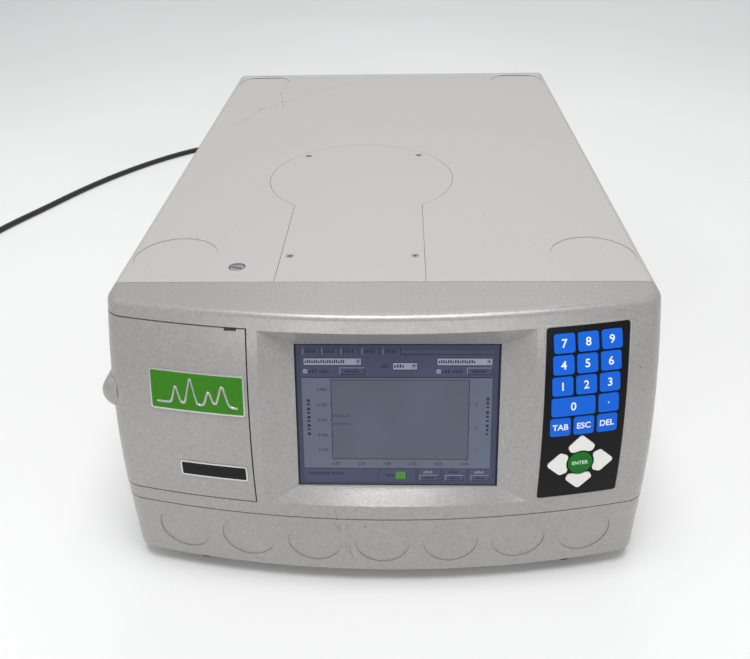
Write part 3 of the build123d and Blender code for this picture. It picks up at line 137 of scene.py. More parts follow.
# Shader building
class Graph:
    """Small helper that adds and joins nodes in one shader tree."""

    def __init__(self, tree: bpy.types.NodeTree) -> None:
        self.tree = tree

    def add(self, kind: str, **settings: object) -> bpy.types.Node:
        """Adds a node and sets its properties.

        Args:
            kind: Blender's name of the node type.
            **settings: Properties of the node.

        Returns:
            The new node.
        """
        node = self.tree.nodes.new(kind)
        for name, value in settings.items():
            setattr(node, name, value)
        return node

    def join(self, source: object, target: bpy.types.NodeSocket) -> None:
        """Links a socket, or sets a constant, on a target socket."""
        if isinstance(source, bpy.types.NodeSocket):
            self.tree.links.new(source, target)
        else:
            target.default_value = source

    def math(self, operation: str, *values: object, clamp: bool = False) -> bpy.types.NodeSocket:
        """Adds a Math node.

        Args:
            operation: Name of the operation.
            *values: Sockets or numbers for its inputs.
            clamp: Whether the result is kept from 0 to 1.

        Returns:
            The output socket.
        """
        node = self.add("ShaderNodeMath", operation=operation, use_clamp=clamp)
        for value, socket in zip(values, node.inputs):
            self.join(value, socket)
        return node.outputs[0]

    def vector(self, operation: str, *values: object) -> bpy.types.Node:
        """Adds a Vector Math node and returns it."""
        node = self.add("ShaderNodeVectorMath", operation=operation)
        for value, socket in zip(values, node.inputs):
            self.join(value, socket)
        return node

    def ramp(self, value: object, low: float, high: float, to_low: float = 0.0, to_high: float = 1.0):
        """Maps a value smoothly from one range to another and clamps it."""
        node = self.add("ShaderNodeMapRange", interpolation_type="SMOOTHSTEP")
        for item, socket in zip((value, low, high, to_low, to_high), node.inputs):
            self.join(item, socket)
        return node.outputs[0]

    def mix(self, factor: object, first: object, second: object) -> bpy.types.NodeSocket:
        """Mixes two colours."""
        node = self.add("ShaderNodeMix", data_type="RGBA")
        self.join(factor, node.inputs["Factor"])
        for value, socket in ((first, node.inputs[6]), (second, node.inputs[7])):
            self.join((*value, 1.0) if isinstance(value, tuple) and len(value) == 3 else value, socket)
        return node.outputs[2]

    def noise(self, place: object, scale: object, detail: float = 2.0) -> bpy.types.NodeSocket:
        """Adds a noise texture and returns its value."""
        node = self.add("ShaderNodeTexNoise")
        self.join(place, node.inputs["Vector"])
        self.join(scale, node.inputs["Scale"])
        node.inputs["Detail"].default_value = detail
        return node.outputs["Fac"]

    def object_place(self) -> bpy.types.NodeSocket:
        """Object coordinates, which are the row frame on every node of the model."""
        return self.add("ShaderNodeTexCoord").outputs["Object"]


def new_group(name: str, inputs: Sequence[tuple[str, str]], outputs: Sequence[tuple[str, str]]):
    """Makes an empty node group.

    Args:
        name: Name of the group.
        inputs: Name and socket type of each input.
        outputs: Name and socket type of each output.

    Returns:
        The graph, its input node and its output node.
    """
    tree = bpy.data.node_groups.new(name, "ShaderNodeTree")
    for label, kind in inputs:
        tree.interface.new_socket(name=label, in_out="INPUT", socket_type=kind)
    for label, kind in outputs:
        tree.interface.new_socket(name=label, in_out="OUTPUT", socket_type=kind)
    graph = Graph(tree)
    return graph, graph.add("NodeGroupInput"), graph.add("NodeGroupOutput")


FLOAT = "NodeSocketFloat"
VECTOR = "NodeSocketVector"


def make_grain_group() -> bpy.types.NodeTree:
    """Fine texture: a tone and a height from two sizes of noise, and rare specks."""
    graph, inward, outward = new_group(
        "fine_grain", [("Scale", FLOAT)], [("Tone", FLOAT), ("Height", FLOAT), ("Specks", FLOAT)]
    )
    place = graph.object_place()
    scale = inward.outputs["Scale"]
    fine = graph.noise(place, scale, 1.0)
    coarse = graph.noise(place, graph.math("MULTIPLY", scale, 0.35), 2.0)
    height = graph.math("MULTIPLY_ADD", coarse, 0.6, fine)
    cells = graph.add("ShaderNodeTexVoronoi", feature="F1")
    graph.join(place, cells.inputs["Vector"])
    graph.join(graph.math("MULTIPLY", scale, 0.16), cells.inputs["Scale"])
    chosen = graph.add("ShaderNodeSeparateColor")
    graph.join(cells.outputs["Color"], chosen.inputs[0])
    rare = graph.ramp(chosen.outputs[0], 0.9, 0.93)
    dot = graph.ramp(cells.outputs["Distance"], 0.05, 0.14, 1.0, 0.0)
    graph.join(graph.math("SUBTRACT", height, 0.8), outward.inputs["Tone"])
    graph.join(height, outward.inputs["Height"])
    graph.join(graph.math("MULTIPLY", rare, dot), outward.inputs["Specks"])
    return graph.tree


def make_smudge_group() -> bpy.types.NodeTree:
    """Large soft patches of handling and dust."""
    graph, inward, outward = new_group("smudges", [("Scale", FLOAT)], [("Value", FLOAT)])
    soft = graph.noise(graph.object_place(), inward.outputs["Scale"], 4.0)
    graph.join(graph.ramp(soft, 0.35, 0.7), outward.inputs["Value"])
    return graph.tree


def make_line_group() -> bpy.types.NodeTree:
    """One scratch: a thin line between two points, wavering and broken a little."""
    graph, inward, outward = new_group(
        "scratch_line",
        [("Place", VECTOR), ("From", VECTOR), ("To", VECTOR), ("Flat", VECTOR), ("Width", FLOAT)],
        [("Mask", FLOAT)],
    )
    place, start, end = (inward.outputs[name] for name in ("Place", "From", "To"))
    waver = graph.add("ShaderNodeTexNoise")
    graph.join(place, waver.inputs["Vector"])
    waver.inputs["Scale"].default_value = 40.0
    shift = graph.vector("SUBTRACT", waver.outputs["Color"], (0.5, 0.5, 0.5))
    shift = graph.vector("SCALE", shift.outputs[0])
    shift.inputs["Scale"].default_value = 0.004
    moved = graph.vector("ADD", place, shift.outputs[0]).outputs[0]
    to_place = graph.vector("SUBTRACT", moved, start).outputs[0]
    along = graph.vector("SUBTRACT", end, start).outputs[0]
    share = graph.math(
        "DIVIDE",
        graph.vector("DOT_PRODUCT", to_place, along).outputs["Value"],
        graph.vector("DOT_PRODUCT", along, along).outputs["Value"],
        clamp=True,
    )
    foot = graph.vector("SCALE", along)
    graph.join(share, foot.inputs["Scale"])
    away = graph.vector("SUBTRACT", to_place, foot.outputs[0])
    away = graph.vector("MULTIPLY", away.outputs[0], inward.outputs["Flat"])
    distance = graph.vector("LENGTH", away.outputs[0]).outputs["Value"]
    line = graph.math("SUBTRACT", 1.0, graph.math("DIVIDE", distance, inward.outputs["Width"]), clamp=True)
    broken = graph.ramp(graph.noise(place, 160.0, 2.0), 0.38, 0.55)
    graph.join(graph.math("MULTIPLY", line, broken), outward.inputs["Mask"])
    return graph.tree


def make_border_group() -> bpy.types.NodeTree:
    """Distance inwards from a rounded rectangle, seen from the front, in metres."""
    graph, inward, outward = new_group(
        "border_distance",
        [("Centre", VECTOR), ("Half", VECTOR), ("Corner", FLOAT)],
        [("Distance", FLOAT)],
    )
    away = graph.vector("SUBTRACT", graph.object_place(), inward.outputs["Centre"]).outputs[0]
    away = graph.vector("ABSOLUTE", away).outputs[0]
    over = graph.vector("SUBTRACT", away, inward.outputs["Half"]).outputs[0]
    parts = graph.add("ShaderNodeSeparateXYZ")
    graph.join(over, parts.inputs[0])
    corner = inward.outputs["Corner"]
    reach_x = graph.math("ADD", parts.outputs[0], corner)
    reach_z = graph.math("ADD", parts.outputs[2], corner)
    outside_x = graph.math("MAXIMUM", reach_x, 0.0)
    outside_z = graph.math("MAXIMUM", reach_z, 0.0)
    squares = graph.math("MULTIPLY_ADD", outside_x, outside_x, graph.math("MULTIPLY", outside_z, outside_z))
    inside = graph.math("MINIMUM", graph.math("MAXIMUM", reach_x, reach_z), 0.0)
    signed = graph.math("SUBTRACT", graph.math("ADD", graph.math("SQRT", squares), inside), corner)
    graph.join(graph.math("MULTIPLY", signed, -1.0), outward.inputs["Distance"])
    return graph.tree


@dataclass
class Groups:
    """The shared node groups, made once."""

    grain: bpy.types.NodeTree = field(default_factory=make_grain_group)
    smudge: bpy.types.NodeTree = field(default_factory=make_smudge_group)
    line: bpy.types.NodeTree = field(default_factory=make_line_group)
    border: bpy.types.NodeTree = field(default_factory=make_border_group)


@dataclass(frozen=True)
class Scratch:
    """One scratch on the paint, in the row frame in millimetres, and how dark it is."""

    start: Point
    end: Point
    width: float = 0.5
    dark: float = 0.5


COVER_SCRATCHES: tuple[Scratch, ...] = (
    Scratch((-154, 105, 200), (-134, 160, 200), 1.0, 0.5),
    Scratch((-134, 160, 200), (-70, 232, 200), 1.0, 0.4),
    Scratch((-180, 158, 200), (-116, 162, 200), 0.9, 0.35),
    Scratch((-122, 222, 200), (-112, 166, 200), 1.0, 0.45),
    Scratch((-128, 232, 200), (-66, 234, 200), 0.8, 0.3),
    Scratch((-70, 232, 200), (-24, 268, 200), 0.7, 0.25),
    Scratch((96, 30, 200), (118, 62, 200), 0.5, 0.2),
)
FRONT_SCRATCHES: tuple[Scratch, ...] = (
    Scratch((-31, -289, 70), (-28, -289, 44), 0.5, 0.55),
    Scratch((-36, -289, 70), (-23, -289, 28), 0.5, 0.5),
    Scratch((-24, -289, 58), (-21, -289, 20), 0.5, 0.5),
    Scratch((-3, -289, 74), (2, -289, 52), 0.45, 0.35),
    Scratch((-45, -289, 66), (-29, -289, 60), 0.4, 0.4),
    Scratch((148, -240, 196), (166, -236, 193), 0.9, 0.35),
    Scratch((158, -236, 190), (172, -224, 187), 0.8, 0.3),
)


class Materials:
    """Makes and keeps one material for each slot of the record."""

    SMUDGE_SCALE = 14.0
    SMUDGE_ROUGHNESS = 0.08
    TONE_GAIN = 1.6
    HANDLED_SHADE = 0.8
    BRIGHTEST = 0.95
    SPECK_DARK, SPECK_COLOUR = 0.6, (0.12, 0.115, 0.11)
    SCRATCH_COLOUR = (0.09, 0.085, 0.08)
    FRONT_PLANE, TOP_PLANE = (1.0, 0.0, 1.0), (1.0, 1.0, 0.0)
    BRUSH_SCALE, BRUSH_STRETCH, BRUSH_SHADE = 2600.0, (1.0, 0.06, 1.0), (0.34, 0.34, 0.35)
    TRACK_SCALE, TRACK_COLOUR = 220.0, (0.03, 0.24, 0.09)
    FILM_SPECULAR, FILM_COAT, FILM_COAT_ROUGHNESS = 0.12, 0.06, 0.3
    GLASS_CLEARNESS = 0.9
    PLATE_CORNER, RIM_INSIDE, RIM_OUTSIDE = 2.0 * MM, 1.15 * MM, 0.9 * MM
    RIM_SILVER, RIM_METAL, PLATE_SPECULAR = (0.66, 0.66, 0.66), 0.85, 0.15
    LCD_SPECULAR, LCD_WEAVE = 0.2, 3200.0

    def __init__(self, groups: Groups) -> None:
        self.groups = groups
        self.made: dict[str, bpy.types.Material] = {}

    def start(self, name: str) -> tuple[bpy.types.Material, Graph, bpy.types.Node]:
        """Makes a material and finds its Principled shader."""
        material = bpy.data.materials.new(name)
        material.use_nodes = True
        shader = next(n for n in material.node_tree.nodes if n.type == "BSDF_PRINCIPLED")
        return material, Graph(material.node_tree), shader

    def group(self, graph: Graph, tree: bpy.types.NodeTree, **values: object) -> bpy.types.Node:
        """Adds a shared group and sets its inputs by name."""
        node = graph.add("ShaderNodeGroup", node_tree=tree)
        for label, value in values.items():
            graph.join(value, node.inputs[label])
        return node

    def textured(self, name: str, look: Finish) -> bpy.types.Material:
        """Builds the material of a finish.

        Args:
            name: Slot name.
            look: The finish.

        Returns:
            The material.
        """
        material, graph, shader = self.start(name)
        grain = self.group(graph, self.groups.grain, Scale=look.grain)
        smudge = self.group(graph, self.groups.smudge, Scale=self.SMUDGE_SCALE).outputs[0]
        shade = tuple(channel * (1 - look.tone) for channel in look.colour)
        light = tuple(min(channel * (1 + look.tone), self.BRIGHTEST) for channel in look.colour)
        tone = graph.math("MULTIPLY_ADD", grain.outputs["Tone"], self.TONE_GAIN, 0.5, clamp=True)
        colour = graph.mix(tone, shade, light)
        handled = tuple(channel * self.HANDLED_SHADE for channel in look.colour)
        colour = graph.mix(graph.math("MULTIPLY", smudge, look.tone), colour, handled)
        smoothest = look.roughness - self.SMUDGE_ROUGHNESS / 2
        rough = graph.math("MULTIPLY_ADD", smudge, self.SMUDGE_ROUGHNESS, smoothest)
        colour, rough = self.detail(graph, name, look, grain, colour, rough)
        graph.join(colour, shader.inputs["Base Color"])
        graph.join(rough, shader.inputs["Roughness"])
        shader.inputs["Metallic"].default_value = look.metallic
        self.bump(graph, shader, grain.outputs["Height"], look.grain_depth, 0.25 / look.grain)
        if look.kind is Kind.GLASS:
            shader.inputs["Transmission Weight"].default_value = self.GLASS_CLEARNESS
        if look.kind is Kind.FILM:
            shader.inputs["Specular IOR Level"].default_value = self.FILM_SPECULAR
            shader.inputs["Coat Weight"].default_value = self.FILM_COAT
            shader.inputs["Coat Roughness"].default_value = self.FILM_COAT_ROUGHNESS
        return material

    def bump(
        self, graph: Graph, shader: bpy.types.Node, height: object, strength: float, depth: float
    ) -> None:
        """Joins a height to the shader's normal."""
        node = graph.add("ShaderNodeBump")
        node.inputs["Strength"].default_value = strength
        node.inputs["Distance"].default_value = depth
        graph.join(height, node.inputs["Height"])
        graph.join(node.outputs[0], shader.inputs["Normal"])

    def detail(self, graph: Graph, name: str, look: Finish, grain: bpy.types.Node, colour, rough):
        """Adds what sets one kind of surface apart from the others."""
        place = graph.object_place()
        if look.kind is Kind.PAINT:
            dark = graph.math("MULTIPLY", grain.outputs["Specks"], self.SPECK_DARK)
            colour = graph.mix(dark, colour, self.SPECK_COLOUR)
            on_front = name == "front_paint"
            for scratch in FRONT_SCRATCHES if on_front else COVER_SCRATCHES:
                mask = self.group(
                    graph,
                    self.groups.line,
                    Place=place,
                    From=tuple(v * MM for v in scratch.start),
                    To=tuple(v * MM for v in scratch.end),
                    Flat=self.FRONT_PLANE if on_front else self.TOP_PLANE,
                    Width=scratch.width * MM,
                ).outputs[0]
                colour = graph.mix(graph.math("MULTIPLY", mask, scratch.dark), colour, self.SCRATCH_COLOUR)
        if look.kind in (Kind.SHEET, Kind.MACHINED):
            stretched = graph.vector("MULTIPLY", place, self.BRUSH_STRETCH).outputs[0]
            brushed = graph.noise(stretched, self.BRUSH_SCALE, 2.0)
            rough = graph.math("MULTIPLY_ADD", brushed, 0.16, graph.math("SUBTRACT", rough, 0.08))
            colour = graph.mix(graph.math("MULTIPLY", brushed, 0.25), colour, self.BRUSH_SHADE)
        if look.kind is Kind.BOARD:
            cells = graph.add("ShaderNodeTexVoronoi", feature="DISTANCE_TO_EDGE", distance="EUCLIDEAN")
            graph.join(place, cells.inputs["Vector"])
            cells.inputs["Scale"].default_value = self.TRACK_SCALE
            tracks = graph.ramp(cells.outputs["Distance"], 0.03, 0.06, 1.0, 0.0)
            colour = graph.mix(tracks, colour, self.TRACK_COLOUR)
        if look.kind is Kind.CORD:
            rings = graph.noise(place, 420.0, 1.0)
            rough = graph.math("MULTIPLY_ADD", rings, 0.1, graph.math("SUBTRACT", rough, 0.05))
        return colour, rough

    def get(self, slot: str) -> bpy.types.Material:
        """Returns the material of a slot, made on first use."""
        if slot not in self.made:
            self.made[slot] = self.textured(slot, FINISHES[slot])
        return self.made[slot]

    def plate(self, slot: str, inner: Colour, centre: Point, half: Point) -> bpy.types.Material:
        """Small domed plate with a silver rim.

        Args:
            slot: Slot name.
            inner: Colour inside the rim.
            centre: Middle of the plate in millimetres.
            half: Half of its width, depth and height in millimetres.

        Returns:
            The material.
        """
        material, graph, shader = self.start(slot)
        border = self.group(
            graph,
            self.groups.border,
            Centre=tuple(v * MM for v in centre),
            Half=tuple(v * MM for v in half),
            Corner=self.PLATE_CORNER,
        ).outputs[0]
        grain = self.group(graph, self.groups.grain, Scale=1500.0)
        rim = graph.ramp(border, self.RIM_OUTSIDE, self.RIM_INSIDE, 1.0, 0.0)
        tone = graph.math("MULTIPLY_ADD", grain.outputs["Tone"], 1.2, 0.5, clamp=True)
        body = graph.mix(tone, tuple(c * 0.9 for c in inner), tuple(c * 1.1 for c in inner))
        graph.join(graph.mix(rim, body, self.RIM_SILVER), shader.inputs["Base Color"])
        graph.join(graph.math("MULTIPLY", rim, self.RIM_METAL), shader.inputs["Metallic"])
        graph.join(graph.ramp(rim, 0.0, 1.0, 0.3, 0.24), shader.inputs["Roughness"])
        shader.inputs["Specular IOR Level"].default_value = self.PLATE_SPECULAR
        height = graph.math("ADD", rim, graph.math("MULTIPLY", grain.outputs["Height"], 0.04))
        self.bump(graph, shader, height, 0.6, 0.3 * MM)
        self.made[slot] = material
        return material

    def lcd(self, name: str, colour: Colour, glow: float) -> bpy.types.Material:
        """Colour shown by the display, lit from behind, with the panel's faint pixel weave.

        Args:
            name: Name of the material.
            colour: Linear colour.
            glow: Strength of the light behind it.

        Returns:
            The material.
        """
        material, graph, shader = self.start(name)
        weave = graph.noise(graph.object_place(), self.LCD_WEAVE, 0.0)
        smudge = self.group(graph, self.groups.smudge, Scale=30.0).outputs[0]
        shade = tuple(c * 0.86 for c in colour)
        tone = graph.math("MULTIPLY_ADD", smudge, 0.5, graph.math("MULTIPLY", weave, 0.5))
        tint = graph.mix(tone, shade, colour)
        graph.join(tint, shader.inputs["Base Color"])
        graph.join(tint, shader.inputs["Emission Color"])
        graph.join(graph.math("MULTIPLY_ADD", smudge, 0.08, 0.3), shader.inputs["Roughness"])
        shader.inputs["Emission Strength"].default_value = glow
        shader.inputs["Specular IOR Level"].default_value = self.LCD_SPECULAR
        self.made[name] = material
        return material

    def legend(self, name: str, colour: Colour) -> bpy.types.Material:
        """Printed ink of a legend, a little uneven."""
        material, graph, shader = self.start(name)
        grain = self.group(graph, self.groups.grain, Scale=2600.0)
        tone = graph.math("MULTIPLY_ADD", grain.outputs["Tone"], 1.2, 0.5, clamp=True)
        shade = tuple(c * 0.92 for c in colour)
        graph.join(graph.mix(tone, shade, colour), shader.inputs["Base Color"])
        shader.inputs["Roughness"].default_value = 0.4
        self.bump(graph, shader, grain.outputs["Height"], 0.05, 0.05 * MM)
        self.made[name] = material
        return material


# Places on the front
BOW_RADIUS, LEAN_RADIUS, GROOVE_Z, FRONT_Y = 743.0, 290.0, 61.0, -290.0
BOW_CENTRE_Y = FRONT_Y + BOW_RADIUS
SCREEN_CENTRE = Vector((10.4, -263.4, 128.0))
SCREEN_TILT = math.radians(17.42)
SCREEN_SIZE = (132.5, 99.4)
SCREEN_BACK = 1.2


def face_y(x: float, z: float) -> float:
    """Where the bowed face is at a place seen from the front, in millimetres."""
    rise = max(z - GROOVE_Z, 0.0)
    reach = BOW_RADIUS - LEAN_RADIUS + math.sqrt(LEAN_RADIUS**2 - rise**2)
    return BOW_CENTRE_Y - math.sqrt(reach**2 - x**2)


def key_matrix(x: float, along: float, proud: float) -> Matrix:
    """Frame of a key on the bowed face, X to the right and Z outwards, in metres.

    Args:
        x: Place across the front in millimetres.
        along: Distance up the leaning arc from the groove in millimetres.
        proud: Height above the face in millimetres.

    Returns:
        The matrix.
    """
    lean = max(along, 0.0) / LEAN_RADIUS
    reach = BOW_RADIUS - LEAN_RADIUS + LEAN_RADIUS * math.cos(lean)
    turn = math.asin(x / reach)
    radial = Vector((math.sin(turn), -math.cos(turn), 0.0))
    origin = Vector((0, BOW_CENTRE_Y, GROOVE_Z + LEAN_RADIUS * math.sin(lean))) + radial * reach
    outward = radial * math.cos(lean) + Vector((0, 0, 1)) * math.sin(lean)
    level = Vector((math.cos(turn), math.sin(turn), 0.0))
    frame = Matrix((level, outward.cross(level), outward)).transposed().to_4x4()
    frame.translation = (origin + outward * proud) * MM
    return frame


def screen_matrix(proud: float) -> Matrix:
    """Frame of the display, from its upper left corner, X right, Y up and Z outwards, in metres."""
    outward = Vector((0, -math.cos(SCREEN_TILT), math.sin(SCREEN_TILT)))
    level = Vector((1, 0, 0))
    rise = outward.cross(level)
    corner = SCREEN_CENTRE - outward * (SCREEN_BACK - proud)
    corner += rise * (SCREEN_SIZE[1] / 2) - level * (SCREEN_SIZE[0] / 2)
    frame = Matrix((level, rise, outward)).transposed().to_4x4()
    frame.translation = corner * MM
    return frame


# Mesh pieces
def link(piece: bpy.types.Object) -> bpy.types.Object:
    """Puts a new object in the scene."""
    bpy.context.scene.collection.objects.link(piece)
    return piece


def lettering(
    name: str, text: str, height: float, place: Matrix, material: bpy.types.Material, bold: float = 0.0
) -> bpy.types.Object:
    """Flat printed characters as a mesh.

    Args:
        name: Name of the piece.
        text: The characters.
        height: Size of the characters in millimetres.
        place: Frame that they lie in.
        material: Their ink.
        bold: How much thicker the strokes are, in millimetres.

    Returns:
        The mesh object.
    """
    curve = bpy.data.curves.new(name, "FONT")
    curve.body = text
    curve.size = height * MM
    curve.align_x = "CENTER"
    curve.align_y = "CENTER"
    curve.offset = bold * MM
    curve.resolution_u = 4
    source = link(bpy.data.objects.new(name + "_text", curve))
    bpy.context.view_layer.update()
    mesh = bpy.data.meshes.new_from_object(source.evaluated_get(bpy.context.evaluated_depsgraph_get()))
    bpy.data.objects.remove(source)
    mesh.name = name
    across = [vertex.co.x for vertex in mesh.vertices]
    upward = [vertex.co.y for vertex in mesh.vertices]
    centre = Vector((min(across) + max(across), min(upward) + max(upward), 0)) / 2
    mesh.transform(place @ Matrix.Translation(-centre))
    mesh.materials.clear()
    mesh.materials.append(material)
    return link(bpy.data.objects.new(name, mesh))


@dataclass
class Sheet:
    """Thin printed shapes laid on one plane, gathered into a single mesh."""

    name: str
    place: Matrix
    layer_step: float = 0.02
    mesh: bmesh.types.BMesh = field(default_factory=bmesh.new)
    inks: list = field(default_factory=list)

    def ink(self, material: bpy.types.Material) -> int:
        """Number of a material on this sheet."""
        if material not in self.inks:
            self.inks.append(material)
        return self.inks.index(material)

    def outline(self, corners: Iterable[tuple[float, float]], material, layer: int = 0) -> None:
        """Adds a filled shape from its corners in millimetres."""
        rise = layer * self.layer_step
        places = [self.place @ (Vector((x, y, rise)) * MM) for x, y in corners]
        face = self.mesh.faces.new([self.mesh.verts.new(place) for place in places])
        face.material_index = self.ink(material)

    def box(self, left: float, top: float, right: float, bottom: float, material, layer: int = 0) -> None:
        """Adds a rectangle, measured right and down from the sheet's corner."""
        self.outline(((left, -bottom), (right, -bottom), (right, -top), (left, -top)), material, layer)

    def stroke(self, points: Sequence[tuple[float, float]], width: float, material, layer: int = 0) -> None:
        """Adds a line of even width through points, measured right and down."""
        for (x0, y0), (x1, y1) in zip(points, points[1:]):
            length = math.hypot(x1 - x0, y1 - y0)
            nx, ny = -(y1 - y0) / length * width / 2, (x1 - x0) / length * width / 2
            corners = ((x0 + nx, -y0 - ny), (x0 - nx, -y0 + ny), (x1 - nx, -y1 + ny), (x1 + nx, -y1 - ny))
            self.outline(corners, material, layer)

    def words(
        self, left: float, top: float, widths: Sequence[float], height: float, material, layer: int = 2
    ) -> None:
        """Adds a row of short bars in place of words."""
        x = left
        for width in widths:
            strokes = max(int(width / (height * 0.62)), 1)
            for number in range(strokes):
                start = x + number * width / strokes
                stroke = width / strokes * 0.6
                tall = height * (1.0 if number % 3 else 0.72)
                self.box(start, top + height - tall, start + stroke, top + height, material, layer)
            x += width + height * 0.6

    def done(self) -> bpy.types.Object:
        """Turns the gathered shapes into one object."""
        mesh = bpy.data.meshes.new(self.name)
        self.mesh.to_mesh(mesh)
        self.mesh.free()
        for material in self.inks:
            mesh.materials.append(material)
        return link(bpy.data.objects.new(self.name, mesh))


def join_rows(mesh: bmesh.types.BMesh, first: Sequence, second: Sequence, smooth: bool = False) -> None:
    """Fills the faces between two rows of points."""
    for a, b, c, d in zip(first, first[1:], second[1:], second):
        mesh.faces.new((a, b, c, d)).smooth = smooth


def mesh_piece(name: str, mesh: bmesh.types.BMesh, material: bpy.types.Material) -> bpy.types.Object:
    """Turns a mesh that was built up into an object, and frees it."""
    data = bpy.data.meshes.new(name)
    mesh.to_mesh(data)
    mesh.free()
    data.materials.append(material)
    return link(bpy.data.objects.new(name, data))


# Studio
@dataclass(frozen=True)
class Lamp:
    """One soft lamp.

    Attributes:
        name: Name of the lamp.
        place: Where it hangs, in metres.
        aim: Where it points, in metres.
        sides: Width and height of its face, in metres.
        power: Its power in watts.
    """

    name: str
    place: Point
    aim: Point
    sides: tuple[float, float]
    power: float

    def hang(self) -> None:
        """Puts the lamp in the scene."""
        data = bpy.data.lights.new(self.name, "AREA")
        data.shape = "RECTANGLE"
        data.size, data.size_y = self.sides
        data.energy = self.power
        lamp = link(bpy.data.objects.new(self.name, data))
        lamp.location = self.place
        lamp.rotation_euler = (Vector(self.aim) - Vector(self.place)).to_track_quat("-Z", "Y").to_euler()


class Studio:
    """Camera, lamps, world and floor."""

    FOCAL_PX = 790.37
    FRAME_PX = 750.0
    SENSOR_MM = 36.0
    CLIP = (0.01, 50.0)
    PLACE_MM = (13.14, -665.33, 455.98)
    PITCH, YAW, ROLL = 32.88, 2.29, 1.25
    SKY_COLOUR = (0.96, 0.98, 1.0, 1.0)
    SKY_STRENGTH = 0.5
    FLOOR_HALF = 9.0
    FLOOR_SHADE: Colour = (0.81, 0.805, 0.8)
    FLOOR_LIGHT: Colour = (0.85, 0.847, 0.842)
    FLOOR_PATCH = 1.3
    FLOOR_ROUGHNESS = 0.8
    LAMPS: tuple[Lamp, ...] = (
        Lamp("ceiling", (0.05, -0.45, 2.2), (0.0, -0.15, 0.0), (1.1, 1.1), 29.0),
        Lamp("window", (-1.8, -0.3, 1.5), (0.0, 0.0, 0.1), (1.4, 1.4), 3.0),
        Lamp("back", (0.1, 1.9, 2.3), (0.0, 1.0, 0.0), (1.6, 1.6), 10.0),
        Lamp("front_strip", (0.0, -2.2, 0.95), (0.0, -0.25, 0.18), (2.2, 0.4), 8.0),
    )

    def camera(self) -> None:
        """Places the camera at the photograph's viewing angle."""
        pitch, yaw, roll = (math.radians(v) for v in (self.PITCH, self.YAW, self.ROLL))
        right = Vector((math.cos(yaw), math.sin(yaw), 0))
        level = Vector((-math.sin(yaw), math.cos(yaw), 0))
        ahead = level * math.cos(pitch) - Vector((0, 0, 1)) * math.sin(pitch)
        down = Vector((0, 0, -1)) * math.cos(pitch) - level * math.sin(pitch)
        across = right * math.cos(roll) + down * math.sin(roll)
        below = down * math.cos(roll) - right * math.sin(roll)
        data = bpy.data.cameras.new("camera")
        data.sensor_width = self.SENSOR_MM
        data.lens = self.FOCAL_PX * self.SENSOR_MM / self.FRAME_PX
        data.clip_start, data.clip_end = self.CLIP
        camera = link(bpy.data.objects.new("camera", data))
        matrix = Matrix((across, -below, -ahead)).transposed().to_4x4()
        matrix.translation = Vector(self.PLACE_MM) * MM
        camera.matrix_world = matrix
        bpy.context.scene.camera = camera

    def sky(self) -> None:
        """Gives the scene its even light from all round."""
        world = bpy.data.worlds.new("world")
        world.use_nodes = True
        bpy.context.scene.world = world
        background = next(n for n in world.node_tree.nodes if n.type == "BACKGROUND")
        background.inputs["Color"].default_value = self.SKY_COLOUR
        background.inputs["Strength"].default_value = self.SKY_STRENGTH

    def floor(self) -> None:
        """Adds a plain pale floor."""
        half = self.FLOOR_HALF
        corners = [(-half, -half, 0), (half, -half, 0), (half, half, 0), (-half, half, 0)]
        mesh = bpy.data.meshes.new("floor")
        mesh.from_pydata(corners, [], [(0, 1, 2, 3)])
        material = bpy.data.materials.new("floor")
        material.use_nodes = True
        graph = Graph(material.node_tree)
        shader = next(n for n in material.node_tree.nodes if n.type == "BSDF_PRINCIPLED")
        patches = graph.ramp(graph.noise(graph.object_place(), self.FLOOR_PATCH, 2.0), 0.3, 0.7)
        graph.join(graph.mix(patches, self.FLOOR_SHADE, self.FLOOR_LIGHT), shader.inputs["Base Color"])
        shader.inputs["Roughness"].default_value = self.FLOOR_ROUGHNESS
        mesh.materials.append(material)
        link(bpy.data.objects.new("floor", mesh))

    def build(self) -> None:
        """Makes the whole studio."""
        self.camera()
        self.sky()
        for lamp in self.LAMPS:
            lamp.hang()
        self.floor()
        bpy.context.scene.view_settings.view_transform = "Standard"


